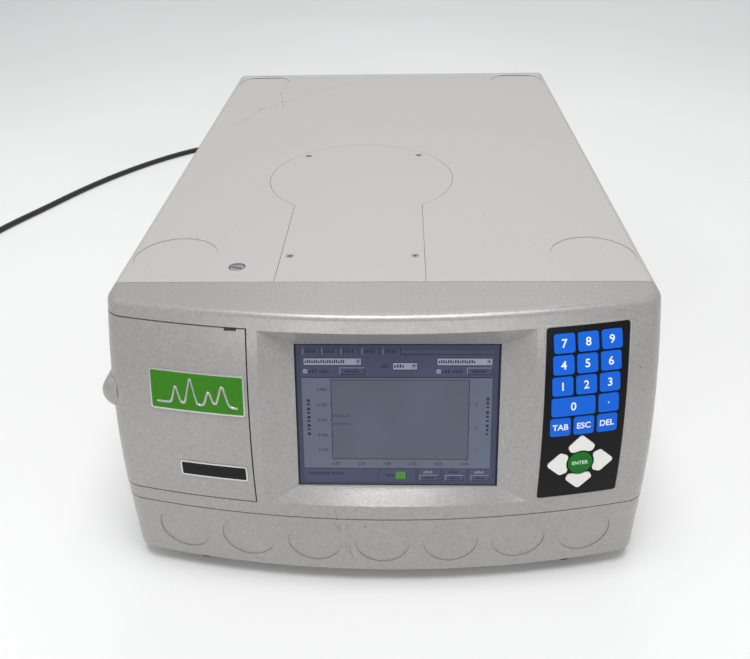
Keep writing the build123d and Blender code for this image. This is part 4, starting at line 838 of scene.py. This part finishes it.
# Mains lead
class MainsLead:
    """The free mains lead: route over the table, then a neat coil outside the view."""

    DIAMETER = 7.0
    ROUTE: tuple[Point, ...] = (
        (-118.0, 326.3, 46.0),
        (-118.0, 360.0, 44.0),
        (-119.0, 394.0, 31.0),
        (-121.0, 432.0, 11.0),
        (-125.0, 474.0, 3.6),
        (-136.0, 520.0, 3.8),
        (-156.0, 562.0, 3.6),
        (-190.0, 596.0, 3.8),
        (-234.0, 612.0, 3.6),
        (-280.0, 605.0, 3.8),
        (-322.0, 581.0, 3.6),
        (-358.0, 550.0, 3.8),
        (-391.0, 514.0, 3.6),
        (-420.0, 475.0, 3.8),
        (-446.0, 435.0, 3.6),
        (-468.0, 393.0, 3.8),
        (-489.0, 349.0, 3.6),
        (-510.0, 308.0, 3.8),
        (-529.0, 266.0, 3.6),
        (-539.5, 226.0, 3.8),
    )
    COIL_CENTRE = (-583.0, 190.0)
    COIL_RADII = (42.0, 35.0)
    COIL_LEVELS = (3.6, 10.6)
    POINTS_A_TURN = 16
    TURNS = 3.5
    LENGTH = 1.74
    TURN_IN, TURN_UP, TURN_OUT = 0.75, 1.75, 2.75
    CHANGE_TURNS = 0.25

    def coil(self) -> list[Point]:
        """Points of the coil: one turn outside, in, up, and out again over it."""
        points: list[Point] = []
        outer, inner = self.COIL_RADII
        low, high = self.COIL_LEVELS

        def eased(turn: float, start: float) -> float:
            """Share of a change made over the quarter turn that ends a full turn."""
            return min(max((turn - start) / self.CHANGE_TURNS, 0.0), 1.0)

        for step in range(int(self.TURNS * self.POINTS_A_TURN) + 1):
            turn = step / self.POINTS_A_TURN
            radius = outer + (inner - outer) * (eased(turn, self.TURN_IN) - eased(turn, self.TURN_OUT))
            level = low + (high - low) * eased(turn, self.TURN_UP)
            angle = -2 * math.pi * turn
            x = self.COIL_CENTRE[0] + radius * math.cos(angle)
            points.append((x, self.COIL_CENTRE[1] + radius * math.sin(angle), level))
        return points

    def build(self, frame: dict, materials: Materials) -> None:
        """Args:
            frame: The loaded model; not used.
            materials: The material maker.
        """
        points = [*self.ROUTE, *self.coil()]
        curve = bpy.data.curves.new("mains_lead", "CURVE")
        curve.dimensions = "3D"
        spline = curve.splines.new("NURBS")
        spline.points.add(len(points) - 1)
        for point, (x, y, z) in zip(spline.points, points):
            point.co = (x * MM, y * MM, z * MM, 1.0)
        spline.order_u = 3
        spline.use_endpoint_u = True
        spline.resolution_u = 6
        curve.bevel_depth = self.DIAMETER / 2 * MM
        curve.bevel_resolution = 5
        curve.use_fill_caps = True
        curve.materials.append(materials.get("cord_pvc"))
        lead = link(bpy.data.objects.new("mains_lead", curve))
        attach(lead, "case")
        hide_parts("mains_cord", "cord_coil")


# Keypad
@dataclass(frozen=True)
class KeyLegend:
    """What one key shows, and where its middle lies in the grid."""

    node: str
    text: str
    column: float
    row: int
    height: float


class Keypad:
    """Printed legends of the keys."""

    CENTRE_X, ROW_ARC = 129.5, 123.0
    COLUMN_PITCH, ROW_PITCH = 15.26, 13.85
    KEY_PROUD, INK_PROUD = 0.3, 0.03
    BOLD = 0.12
    LEGENDS: tuple[KeyLegend, ...] = (
        *(
            KeyLegend(f"key_{digit}", str(digit), column, row, 7.6)
            for digit, column, row in (
                *((7 - 3 * row + column, column - 1, row) for row in range(3) for column in range(3)),
                (0, -0.5, 3),
            )
        ),
        KeyLegend("key_point", ".", 1, 3, 7.0),
        KeyLegend("key_tab", "TAB", -1, 4, 5.7),
        KeyLegend("key_esc", "ESC", 0, 4, 5.7),
        KeyLegend("key_del", "DEL", 1, 4, 5.7),
        KeyLegend("key_enter", "ENTER", 0, 6, 3.7),
    )

    def build(self, materials: Materials) -> None:
        """Prints every legend on its key."""
        white = materials.legend("legend_white", (0.88, 0.92, 0.97))
        pale = materials.legend("legend_pale", (0.55, 0.72, 0.55))
        for key in self.LEGENDS:
            place = key_matrix(
                self.CENTRE_X + key.column * self.COLUMN_PITCH,
                self.ROW_ARC - key.row * self.ROW_PITCH,
                self.KEY_PROUD + self.INK_PROUD,
            )
            ink = pale if key.node == "key_enter" else white
            piece = lettering("legend_" + key.node[4:], key.text, key.height, place, ink, bold=self.BOLD)
            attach(piece, key.node)


# Display
@dataclass(frozen=True)
class LcdInks:
    """Colours of the picture on the display."""

    base: bpy.types.Material
    bar: bpy.types.Material
    panel: bpy.types.Material
    plot: bpy.types.Material
    field: bpy.types.Material
    light: bpy.types.Material
    dark: bpy.types.Material
    text: bpy.types.Material
    green: bpy.types.Material
    amber: bpy.types.Material

    @classmethod
    def make(cls, materials: Materials) -> "LcdInks":
        """Makes every colour, with the glow of the lamp behind the panel."""
        return cls(
            base=materials.lcd("lcd_base", (0.045, 0.05, 0.085), 0.32),
            bar=materials.lcd("lcd_bar", (0.055, 0.062, 0.105), 0.35),
            panel=materials.lcd("lcd_panel", (0.1, 0.115, 0.155), 0.36),
            plot=materials.lcd("lcd_plot", (0.08, 0.094, 0.122), 0.36),
            field=materials.lcd("lcd_field", (0.25, 0.27, 0.33), 0.38),
            light=materials.lcd("lcd_light", (0.2, 0.22, 0.3), 0.36),
            dark=materials.lcd("lcd_dark", (0.012, 0.014, 0.032), 0.2),
            text=materials.lcd("lcd_text", (0.022, 0.026, 0.055), 0.2),
            green=materials.lcd("lcd_green", (0.06, 0.2, 0.03), 0.4),
            amber=materials.lcd("lcd_amber", (0.2, 0.22, 0.1), 0.4),
        )


class Display:
    """The picture on the display: bars, fields and a plot, with greeked words and plain numbers.

    Places are in millimetres, measured right and down from the display's upper left corner.
    """

    WIDE, HIGH = SCREEN_SIZE
    PICTURE_PROUD, NUMBERS_PROUD = 0.03, 0.16
    LINE = 0.35
    RULE = 0.4
    SMALL_TEXT, TEXT = 1.8, 2.2

    BORDER_LEFT, BORDER_TOP, BORDER_RIGHT, BORDER_FOOT = 1.2, 1.0, 1.4, 1.2
    HEADER = (4.0, 4.4, SCREEN_SIZE[0] - 4.5, 23.0)
    TAB_LEFTS = (5.5, 17.5, 30.0, 43.5, 57.0)
    TAB_TOP, TAB_FOOT, TAB_WIDTH = 3.0, 7.6, 11.2
    TAB_RULE = (69.0, 7.2, SCREEN_SIZE[0] - 4.5, 7.6)

    DROP_DOWNS = ((5.5, 43.5, 9.6, 26.0), (63.0, 79.5, 12.6, 7.0), (91.5, 127.5, 9.6, 24.0))
    DROP_HEIGHT, DROP_RIM = 5.4, 0.45
    CHECK_LEFTS, CHECK_TOP, CHECK_SIZE = (5.5, 91.5), 17.5, 2.6
    BUTTON_LEFTS, BUTTON_TOP, BUTTON_WIDTH, BUTTON_HEIGHT = (29.0, 111.0), 16.2, 16.5, 5.0

    PANEL = (4.2, 23.2, 127.4, 86.5)
    PLOT_LEFT, PLOT_TOP, PLOT_RIGHT, PLOT_FOOT = 23.5, 24.6, 112.5, 80.0
    LEFT_TICKS, LEFT_TICK_TOP, LEFT_TICK_PITCH = 5, 31.0, 10.6
    RIGHT_TICKS, RIGHT_TICK_TOP, RIGHT_TICK_PITCH = 3, 41.5, 16.0
    LOW_TICKS, LOW_TICK_LEFT, LOW_TICK_PITCH = 6, 24.5, 17.4
    NUMBER_SIZE = 2.9
    LEFT_NUMBER_X, RIGHT_NUMBER_X, LOW_NUMBER_Y = 17.2, 117.6, 83.3
    LOW_NUMBER_LEFT, LOW_NUMBER_PITCH, NUMBER_DROP = 25.5, 17.0, 0.2
    TRACE_STEPS, TRACE_PITCH, TRACE_TOP, TRACE_SWING = 17, 0.72, 49.6, 0.85
    BASELINE = ((23.5, 55.2), (35.6, 55.2))
    SIDE_ROWS, LEFT_SIDE, RIGHT_SIDE = 9, (7.2, 38.0, 2.1, 2.9), (124.0, 36.5, 1.8, 3.1)

    STATUS_TOP, STATUS_FOOT = 87.4, 96.6
    STATUS_LEFTS = ((4.0, 53.0), (54.0, 78.0))
    LAMP = (65.2, 89.2, 71.8, 94.4)
    STATUS_BUTTONS = ((81.0, True), (98.0, False), (115.0, True))
    STATUS_BUTTON_TOP, STATUS_BUTTON_FOOT, STATUS_BUTTON_WIDTH = 91.4, 95.4, 12.2

    def build(self, materials: Materials) -> None:
        """Lays the picture on the window."""
        inks = LcdInks.make(materials)
        sheet = Sheet("display_picture", screen_matrix(self.PICTURE_PROUD))
        right, foot = self.WIDE - self.BORDER_RIGHT, self.HIGH - self.BORDER_FOOT
        sheet.box(0, 0, self.WIDE, self.HIGH, inks.dark)
        sheet.box(self.BORDER_LEFT, self.BORDER_TOP, right, foot, inks.base, 1)
        sheet.box(*self.HEADER, inks.bar, 2)
        self.tabs(sheet, inks)
        self.drop_downs(sheet, inks)
        self.checks_and_buttons(sheet, inks)
        self.plot(sheet, inks)
        self.side_labels(sheet, inks)
        self.status(sheet, inks)
        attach(sheet.done(), "case")
        self.numbers(inks.text)

    def tabs(self, sheet: Sheet, inks: LcdInks) -> None:
        """Row of tabs along the top."""
        for left in self.TAB_LEFTS:
            right = left + self.TAB_WIDTH
            sheet.box(left, self.TAB_TOP, left + self.LINE, self.TAB_FOOT, inks.light, 3)
            sheet.box(right, self.TAB_TOP + 0.2, right + self.RULE, self.TAB_FOOT, inks.dark, 3)
            sheet.words(left + 1.6, self.TAB_TOP + 1.1, (7.2,), self.TEXT, inks.text, 3)
        sheet.box(*self.TAB_RULE, inks.dark, 3)

    def drop_downs(self, sheet: Sheet, inks: LcdInks) -> None:
        """Drop-down fields, each with its arrow."""
        for left, right, top, words in self.DROP_DOWNS:
            foot = top + self.DROP_HEIGHT
            rim = self.DROP_RIM
            sheet.box(left, top, right, foot, inks.dark, 3)
            sheet.box(left + rim, top + rim, right - rim, foot - rim, inks.field, 4)
            sheet.box(right - 4.2, top + 0.7, right - 0.7, foot - 0.7, inks.light, 5)
            arrow = ((right - 3.4, -top - 1.9), (right - 2.45, -top - 3.3), (right - 1.5, -top - 1.9))
            sheet.outline(arrow, inks.dark, 6)
            sheet.words(left + 1.2, top + 1.4, (words,), self.TEXT + 0.1, inks.text, 5)
        middle, _, top, _ = self.DROP_DOWNS[1]
        sheet.words(middle - 7.0, top + 1.6, (5.4,), self.TEXT - 0.1, inks.text, 3)

    def checks_and_buttons(self, sheet: Sheet, inks: LcdInks) -> None:
        """Check boxes and buttons under the fields."""
        top = self.CHECK_TOP
        for left in self.CHECK_LEFTS:
            sheet.box(left, top, left + self.CHECK_SIZE, top + self.CHECK_SIZE, inks.field, 4)
            tick = ((left + 0.5, top + 1.3), (left + 1.1, top + 2.0), (left + 2.2, top + 0.5))
            sheet.stroke(tick, self.RULE, inks.dark, 5)
            sheet.words(left + 3.8, top + 0.2, (5.4, 6.6), self.TEXT, inks.text, 3)
        top, rule = self.BUTTON_TOP, self.RULE
        for left in self.BUTTON_LEFTS:
            right, foot = left + self.BUTTON_WIDTH, top + self.BUTTON_HEIGHT
            sheet.box(left, top, right, foot, inks.dark, 3)
            sheet.box(left, top, right - rule, foot - rule, inks.light, 4)
            sheet.box(left + rule, top + rule, right - rule, foot - rule, inks.bar, 5)
            sheet.words(left + 3.4, top + 1.4, (9.6,), self.TEXT - 0.1, inks.text, 6)

    def plot(self, sheet: Sheet, inks: LcdInks) -> None:
        """Plot with two axes, a short trace and its ticks."""
        left, top, right, foot = self.PLOT_LEFT, self.PLOT_TOP, self.PLOT_RIGHT, self.PLOT_FOOT
        panel_left, panel_top, panel_right, _ = self.PANEL
        sheet.box(panel_left, panel_top - 0.6, panel_right + 0.6, panel_top, inks.dark, 3)
        sheet.box(*self.PANEL, inks.panel, 3)
        sheet.box(left, top, right, foot, inks.plot, 4)
        rule = self.RULE
        sheet.box(left - rule / 2, top - rule / 2, right + rule, top + rule / 2, inks.dark, 5)
        sheet.box(left - rule, top - rule / 2, left, foot + rule / 2, inks.dark, 5)
        sheet.box(right, top - rule / 2, right + rule, foot + rule / 2, inks.dark, 5)
        sheet.box(left - rule, foot - rule / 2, right + rule, foot + rule / 2, inks.dark, 5)
        for number in range(self.LEFT_TICKS):
            height = self.LEFT_TICK_TOP + number * self.LEFT_TICK_PITCH
            sheet.box(left - 1.3, height, left, height + self.LINE, inks.dark, 5)
        for number in range(self.RIGHT_TICKS):
            height = self.RIGHT_TICK_TOP + number * self.RIGHT_TICK_PITCH
            sheet.box(right, height, right + 1.7, height + self.LINE, inks.dark, 5)
        for number in range(self.LOW_TICKS):
            across = self.LOW_TICK_LEFT + number * self.LOW_TICK_PITCH
            sheet.box(across, foot, across + self.LINE, foot + 1.0, inks.dark, 5)
        trace = []
        for step in range(self.TRACE_STEPS):
            swing = self.TRACE_SWING * math.sin(step * 2.1) * math.sin(step * 0.9)
            trace.append((left + 0.5 + step * self.TRACE_PITCH, self.TRACE_TOP + swing))
        sheet.stroke(trace, 0.38, inks.text, 6)
        sheet.stroke(self.BASELINE, self.RULE, inks.text, 6)

    def side_labels(self, sheet: Sheet, inks: LcdInks) -> None:
        """Greeked labels that run up both sides of the plot."""
        for row in range(self.SIDE_ROWS):
            left, top, width, pitch = self.LEFT_SIDE
            top += row * pitch
            sheet.box(left, top, left + width, top + 1.9 - (row % 2) * 0.6, inks.text, 5)
            left, top, width, pitch = self.RIGHT_SIDE
            top += row * pitch
            sheet.box(left, top, left + width, top + 2.0 - (row % 3) * 0.4, inks.text, 5)

    def status(self, sheet: Sheet, inks: LcdInks) -> None:
        """Status bar along the bottom with its green lamp and three buttons."""
        top, foot = self.STATUS_TOP, self.STATUS_FOOT
        for left, right in self.STATUS_LEFTS:
            sheet.box(left, top, right, foot, inks.bar, 3)
        sheet.words(7.0, top + 2.2, (14.0, 9.0), self.SMALL_TEXT, inks.text, 4)
        sheet.words(58.5, top + 3.2, (5.6,), self.TEXT - 0.1, inks.text, 4)
        sheet.box(*self.LAMP, inks.green, 4)
        _, lamp_top, lamp_right, lamp_foot = self.LAMP
        sheet.box(lamp_right, lamp_top + 0.2, lamp_right + self.RULE, lamp_foot + self.RULE, inks.dark, 4)
        button_top, button_foot = self.STATUS_BUTTON_TOP, self.STATUS_BUTTON_FOOT
        rule = self.RULE
        for left, lit in self.STATUS_BUTTONS:
            right = left + self.STATUS_BUTTON_WIDTH
            sheet.box(left - 1.0, top, right + 1.4, foot, inks.bar, 3)
            ink = inks.amber if lit else inks.text
            sheet.words(left + 2.5, top + 0.9, (6.4,), self.SMALL_TEXT + 0.1, ink, 4)
            sheet.box(left, button_top, right + rule, button_foot + rule, inks.dark, 4)
            sheet.box(left, button_top, right, button_foot, inks.light, 5)
            sheet.box(left + rule, button_top + rule, right, button_foot, inks.bar, 6)
            sheet.words(left + 3.2, button_top + 1.2, (6.0,), self.SMALL_TEXT - 0.1, inks.text, 7)

    def number(self, name: str, text: str, x: float, y: float, ink: bpy.types.Material) -> None:
        """Prints one plain number beside the plot."""
        spot = screen_matrix(self.NUMBERS_PROUD) @ Matrix.Translation((x * MM, -y * MM, 0))
        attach(lettering(name, text, self.NUMBER_SIZE, spot, ink), "case")

    def numbers(self, ink: bpy.types.Material) -> None:
        """Plain numbers along the axes."""
        for row in range(self.LEFT_TICKS):
            y = self.LEFT_TICK_TOP + self.NUMBER_DROP + row * self.LEFT_TICK_PITCH
            self.number(f"axis_left_{row}", f"0.{9 - 2 * row}00", self.LEFT_NUMBER_X, y, ink)
        for column in range(self.LOW_TICKS):
            x = self.LOW_NUMBER_LEFT + column * self.LOW_NUMBER_PITCH
            self.number(f"axis_low_{column}", f"{column * 2}.00", x, self.LOW_NUMBER_Y, ink)
        for row in range(self.RIGHT_TICKS):
            y = self.RIGHT_TICK_TOP + self.NUMBER_DROP + row * self.RIGHT_TICK_PITCH
            self.number(f"axis_right_{row}", str(self.RIGHT_TICKS - row), self.RIGHT_NUMBER_X, y, ink)


# Plates, screws and small marks
def rounded_outline(
    left: float, right: float, bottom: float, top: float, corner: float
) -> list[tuple[float, float]]:
    """Corners of a rounded rectangle seen from the front, close enough together to follow the bow.

    Args:
        left: Left edge in millimetres.
        right: Right edge.
        bottom: Lower edge.
        top: Upper edge.
        corner: Corner radius.

    Returns:
        Points round the outline.
    """
    arc_steps, side_steps = 6, 12
    points: list[tuple[float, float]] = []
    centres = (
        (right - corner, top - corner),
        (left + corner, top - corner),
        (left + corner, bottom + corner),
        (right - corner, bottom + corner),
    )
    for quarter, (x, z) in enumerate(centres):
        for step in range(arc_steps + 1):
            angle = math.pi / 2 * (quarter + step / arc_steps)
            points.append((x + corner * math.cos(angle), z + corner * math.sin(angle)))
        start = math.pi / 2 * (quarter + 1)
        next_x, next_z = centres[(quarter + 1) % len(centres)]
        last = Vector(points[-1])
        goal = Vector((next_x + corner * math.cos(start), next_z + corner * math.sin(start)))
        points += [tuple(last.lerp(goal, step / side_steps)) for step in range(1, side_steps)]
    return points


def on_face(x: float, z: float, proud: float) -> Vector:
    """Point on the bowed face, raised along its normal, in metres."""
    step = 0.5
    across = (face_y(x + step, z) - face_y(x - step, z)) / (2 * step)
    upward = (face_y(x, z + step) - face_y(x, z - step)) / (2 * step)
    inward = Vector((-across, 1.0, -upward)).normalized()
    return (Vector((x, face_y(x, z), z)) - inward * proud) * MM


@dataclass(frozen=True)
class Peak:
    """One peak of the trace on the green plate, in millimetres from the trace's start."""

    at: float
    tall: float
    spread: float


class Trim:
    """Small marks that ride on the case and the door."""

    GREEN_CENTRE = (-117.85, -270.0, 150.0)
    GREEN_HALF = (31.65, 200.0, 13.0)
    BLACK_CENTRE = (-110.9, -275.0, 95.3)
    BLACK_HALF = (22.9, 200.0, 5.7)
    PLATE_PROUD = 0.75

    EMBLEM_SILVER = Finish(Kind.MACHINED, (0.55, 0.56, 0.57), 0.3, 0.8, 900, 0.1, 0.08)
    PEAKS = (Peak(13.0, 10.0, 2.4), Peak(23.0, 15.5, 2.8), Peak(35.0, 8.5, 2.6), Peak(44.0, 12.5, 3.2))
    TRACE_LEFT, TRACE_BASE = -27.0, -8.0
    TRACE_STEP, TRACE_ROWS = 0.5, 109
    TRACE_HALF, TRACE_TOP_SHARE, TRACE_STEEPEST = 0.75, 0.6, 9.0
    TRACE_LOW, TRACE_HIGH = 0.02, 0.3

    SCREWS = ((-71.0, 20.3), (28.8, 20.3), (-65.0, -174.7), (22.8, -174.7))
    # Painted shade of the screws' cross recesses: height of the sheet, half length, width and turn of each
    # stroke.
    DRIVE_Z, DRIVE_HALF, DRIVE_WIDTH = 199.93, 1.9, 0.75
    DRIVE_TURN, DRIVE_TURN_STEP = 20, 31

    LOCK = (-99.4, -190.7)
    LOCK_FACE_Z, LOCK_RADIUS, LOCK_SIDES = 199.2, 5.0, 32
    # Slot of the lock screw, drawn as a stroke of painted shade.
    LOCK_SLOT, LOCK_SLOT_WIDTH = (3.6, 1.4), 1.1

    COVER_Z, FOLD_HALF = 200.0, 177.5
    # Places and widths of the painted highlight line and the painted shade line along the cover's rear
    # fold.
    FOLD_LIGHT_Y, FOLD_LIGHT_WIDTH = 281.6, 2.2
    FOLD_SHADE_Y, FOLD_SHADE_WIDTH = 279.9, 0.9

    KEYPAD_LIP = (102.0, 157.2, 73.9, 190.5, 2.6)
    LIP_WIDTH, LIP_PROUD = 1.3, 0.35
    LIP_PROFILE = ((-0.5, -0.06), (-0.3, 0.8), (0.0, 1.0), (0.3, 0.8), (0.5, -0.06))

    ROCKER_PIVOT = (-83.0, 282.6, 46.0)
    ROCKER_TILT, ROCKER_REACH, ROCKER_DROP, ROCKER_HALF = 7.0, 2.4, 1.8, 9.0
    MARK_RISE, MARK_PROUD, MARK_SIZE = 4.4, 0.06, 5.0

    def trace_at(self, across: float) -> tuple[float, float]:
        """Height and slope of the trace at a place from its start."""
        rise = slope = 0.0
        for peak in self.PEAKS:
            away = across - peak.at
            part = peak.tall * math.exp(-((away / peak.spread) ** 2))
            rise += part
            slope -= 2 * away / peak.spread**2 * part
        return rise, slope

    def emblem(self, materials: Materials) -> None:
        """A plain silver trace of peaks raised on the green plate."""
        left = self.GREEN_CENTRE[0] + self.TRACE_LEFT
        base = self.GREEN_CENTRE[2] + self.TRACE_BASE
        low, high = self.PLATE_PROUD + self.TRACE_LOW, self.PLATE_PROUD + self.TRACE_HIGH
        mesh = bmesh.new()
        rows = []
        for step in range(self.TRACE_ROWS):
            across = step * self.TRACE_STEP
            rise, slope = self.trace_at(across)
            half = self.TRACE_HALF * math.sqrt(1 + min(slope * slope, self.TRACE_STEEPEST))
            top = half * self.TRACE_TOP_SHARE
            profile = ((half, low), (top, high), (-top, high), (-half, low))
            places = [on_face(left + across, base + rise + up, proud) for up, proud in profile]
            rows.append([mesh.verts.new(place) for place in places])
        for first, second in zip(rows, rows[1:]):
            join_rows(mesh, first, second)
        silver = materials.textured("emblem_silver", self.EMBLEM_SILVER)
        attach(mesh_piece("plate_emblem", mesh, silver), "door")

    def screw_drives(self, materials: Materials) -> None:
        """Cross recesses of the lid's screws, drawn as dark strokes of painted shade."""
        dark = materials.legend("recess_dark", (0.015, 0.014, 0.013))
        # The dark strokes are painted shade, standing in for the shadow inside each cross recess.
        sheet = Sheet("screw_drives", Matrix.Translation((0, 0, self.DRIVE_Z * MM)))
        for index, (x, y) in enumerate(self.SCREWS):
            turn = math.radians(self.DRIVE_TURN + self.DRIVE_TURN_STEP * index)
            for angle in (turn, turn + math.pi / 2):
                dx, dy = self.DRIVE_HALF * math.cos(angle), self.DRIVE_HALF * math.sin(angle)
                sheet.stroke(((x - dx, -y - dy), (x + dx, -y + dy)), self.DRIVE_WIDTH, dark)
        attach(sheet.done(), "case")

    def keypad_lip(self, materials: Materials) -> None:
        """Low rounded lip round the keypad, following the bowed face."""
        corners = [Vector(corner) for corner in rounded_outline(*self.KEYPAD_LIP)]
        mesh = bmesh.new()
        rows = []
        for index, corner in enumerate(corners):
            along = (corners[(index + 1) % len(corners)] - corners[index - 1]).normalized()
            outward = Vector((along.y, -along.x)) * self.LIP_WIDTH
            row = []
            for aside, rise in self.LIP_PROFILE:
                place = corner + outward * aside
                row.append(mesh.verts.new(on_face(place.x, place.y, rise * self.LIP_PROUD)))
            rows.append(row)
        for first, second in zip(rows, rows[1:] + rows[:1]):
            join_rows(mesh, first, second, smooth=True)
        bmesh.ops.recalc_face_normals(mesh, faces=mesh.faces)
        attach(mesh_piece("keypad_lip", mesh, materials.get("front_paint")), "case")

    def lock_face(self, materials: Materials) -> None:
        """Slotted face of the lock screw: a steel disc, with its slot drawn as a dark stroke of painted
        shade.
        """
        x, y = self.LOCK
        slot_x, slot_y = self.LOCK_SLOT
        sheet = Sheet("lock_screw_face", Matrix.Translation((0, 0, self.LOCK_FACE_Z * MM)))
        angles = [2 * math.pi * side / self.LOCK_SIDES for side in range(self.LOCK_SIDES)]
        ring = [(x + self.LOCK_RADIUS * math.cos(a), y + self.LOCK_RADIUS * math.sin(a)) for a in angles]
        sheet.outline(ring, materials.get("screw_steel"))
        slot = ((x - slot_x, -y - slot_y), (x + slot_x, -y + slot_y))
        # The slot is painted shade, standing in for the shadow inside it.
        sheet.stroke(slot, self.LOCK_SLOT_WIDTH, materials.made["recess_dark"], 2)
        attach(sheet.done(), "case")

    def cover_fold(self, materials: Materials) -> None:
        """Painted light along the rear fold of the cover: a painted highlight line with a painted shade
        line before it.
        """
        light = materials.legend("fold_bright", (0.68, 0.68, 0.67))
        shade = materials.legend("fold_shade", (0.2, 0.198, 0.19))
        sheet = Sheet("cover_fold", Matrix.Translation((0, 0, self.COVER_Z * MM)))
        # Both lines are painted light: the pale one is a painted highlight on the rounded fold, the dark
        # one is painted shade.
        for y, width, ink in (
            (self.FOLD_LIGHT_Y, self.FOLD_LIGHT_WIDTH, light),
            (self.FOLD_SHADE_Y, self.FOLD_SHADE_WIDTH, shade),
        ):
            sheet.stroke(((-self.FOLD_HALF, -y), (self.FOLD_HALF, -y)), width, ink, 2)
        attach(sheet.done(), "case")

    def rocker_marks(self, materials: Materials) -> None:
        """On and off marks of the mains switch."""
        white = materials.made["legend_white"]
        tilt = Matrix.Rotation(math.radians(-self.ROCKER_TILT), 4, "X")
        pivot = Matrix.Translation(Vector(self.ROCKER_PIVOT) * MM)
        facing = Matrix(((-1, 0, 0, 0), (0, 0, 1, 0), (0, 1, 0, 0), (0, 0, 0, 1)))
        fall = self.ROCKER_DROP / self.ROCKER_HALF
        slope = math.atan(fall)
        depth = self.ROCKER_REACH - self.MARK_RISE * fall + self.MARK_PROUD
        for name, text, side in (("mark_on", "I", 1), ("mark_off", "O", -1)):
            lean = Matrix.Rotation(slope * side, 4, "X")
            place = Matrix.Translation((0, depth * MM, self.MARK_RISE * side * MM))
            spot = pivot @ tilt @ place @ lean @ facing
            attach(lettering(name, text, self.MARK_SIZE, spot, white), "rocker")

    def build(self, materials: Materials) -> None:
        """Adds all of them."""
        self.emblem(materials)
        self.screw_drives(materials)
        self.lock_face(materials)
        self.cover_fold(materials)
        self.keypad_lip(materials)
        self.rocker_marks(materials)


# The whole
def dress_nodes(frame: dict, materials: Materials) -> None:
    """Gives every node of the model its material, by the record's slots."""
    materials.plate("green_enamel", (0.042, 0.2, 0.012), Trim.GREEN_CENTRE, Trim.GREEN_HALF)
    materials.plate("black_enamel", (0.01, 0.01, 0.012), Trim.BLACK_CENTRE, Trim.BLACK_HALF)
    materials.lcd("screen_glass", (0.05, 0.055, 0.085), 0.1)
    slots = {entry["node"]: entry["material_slot"] for entry in frame["record"]["subparts"]}
    for name, node in frame["nodes"].items():
        slot = HOOD_PAINT if name == "tube_hood" else slots[name]
        node.data.materials.clear()
        node.data.materials.append(materials.get(slot))


def corners(bounds: tuple[Vector, Vector]) -> list[list[float]]:
    """Bounds as plain lists."""
    return [list(bounds[0]), list(bounds[1])]


def main() -> None:
    """Builds the scene around the loaded frame."""
    logging.basicConfig(level=logging.INFO)
    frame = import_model()
    studio = Studio()
    studio.build()
    materials = Materials(Groups())
    MainsLead().build(frame, materials)
    dress_nodes(frame, materials)
    Keypad().build(materials)
    Display().build(materials)
    Trim().build(materials)


if __name__ == "__main__":
    main()
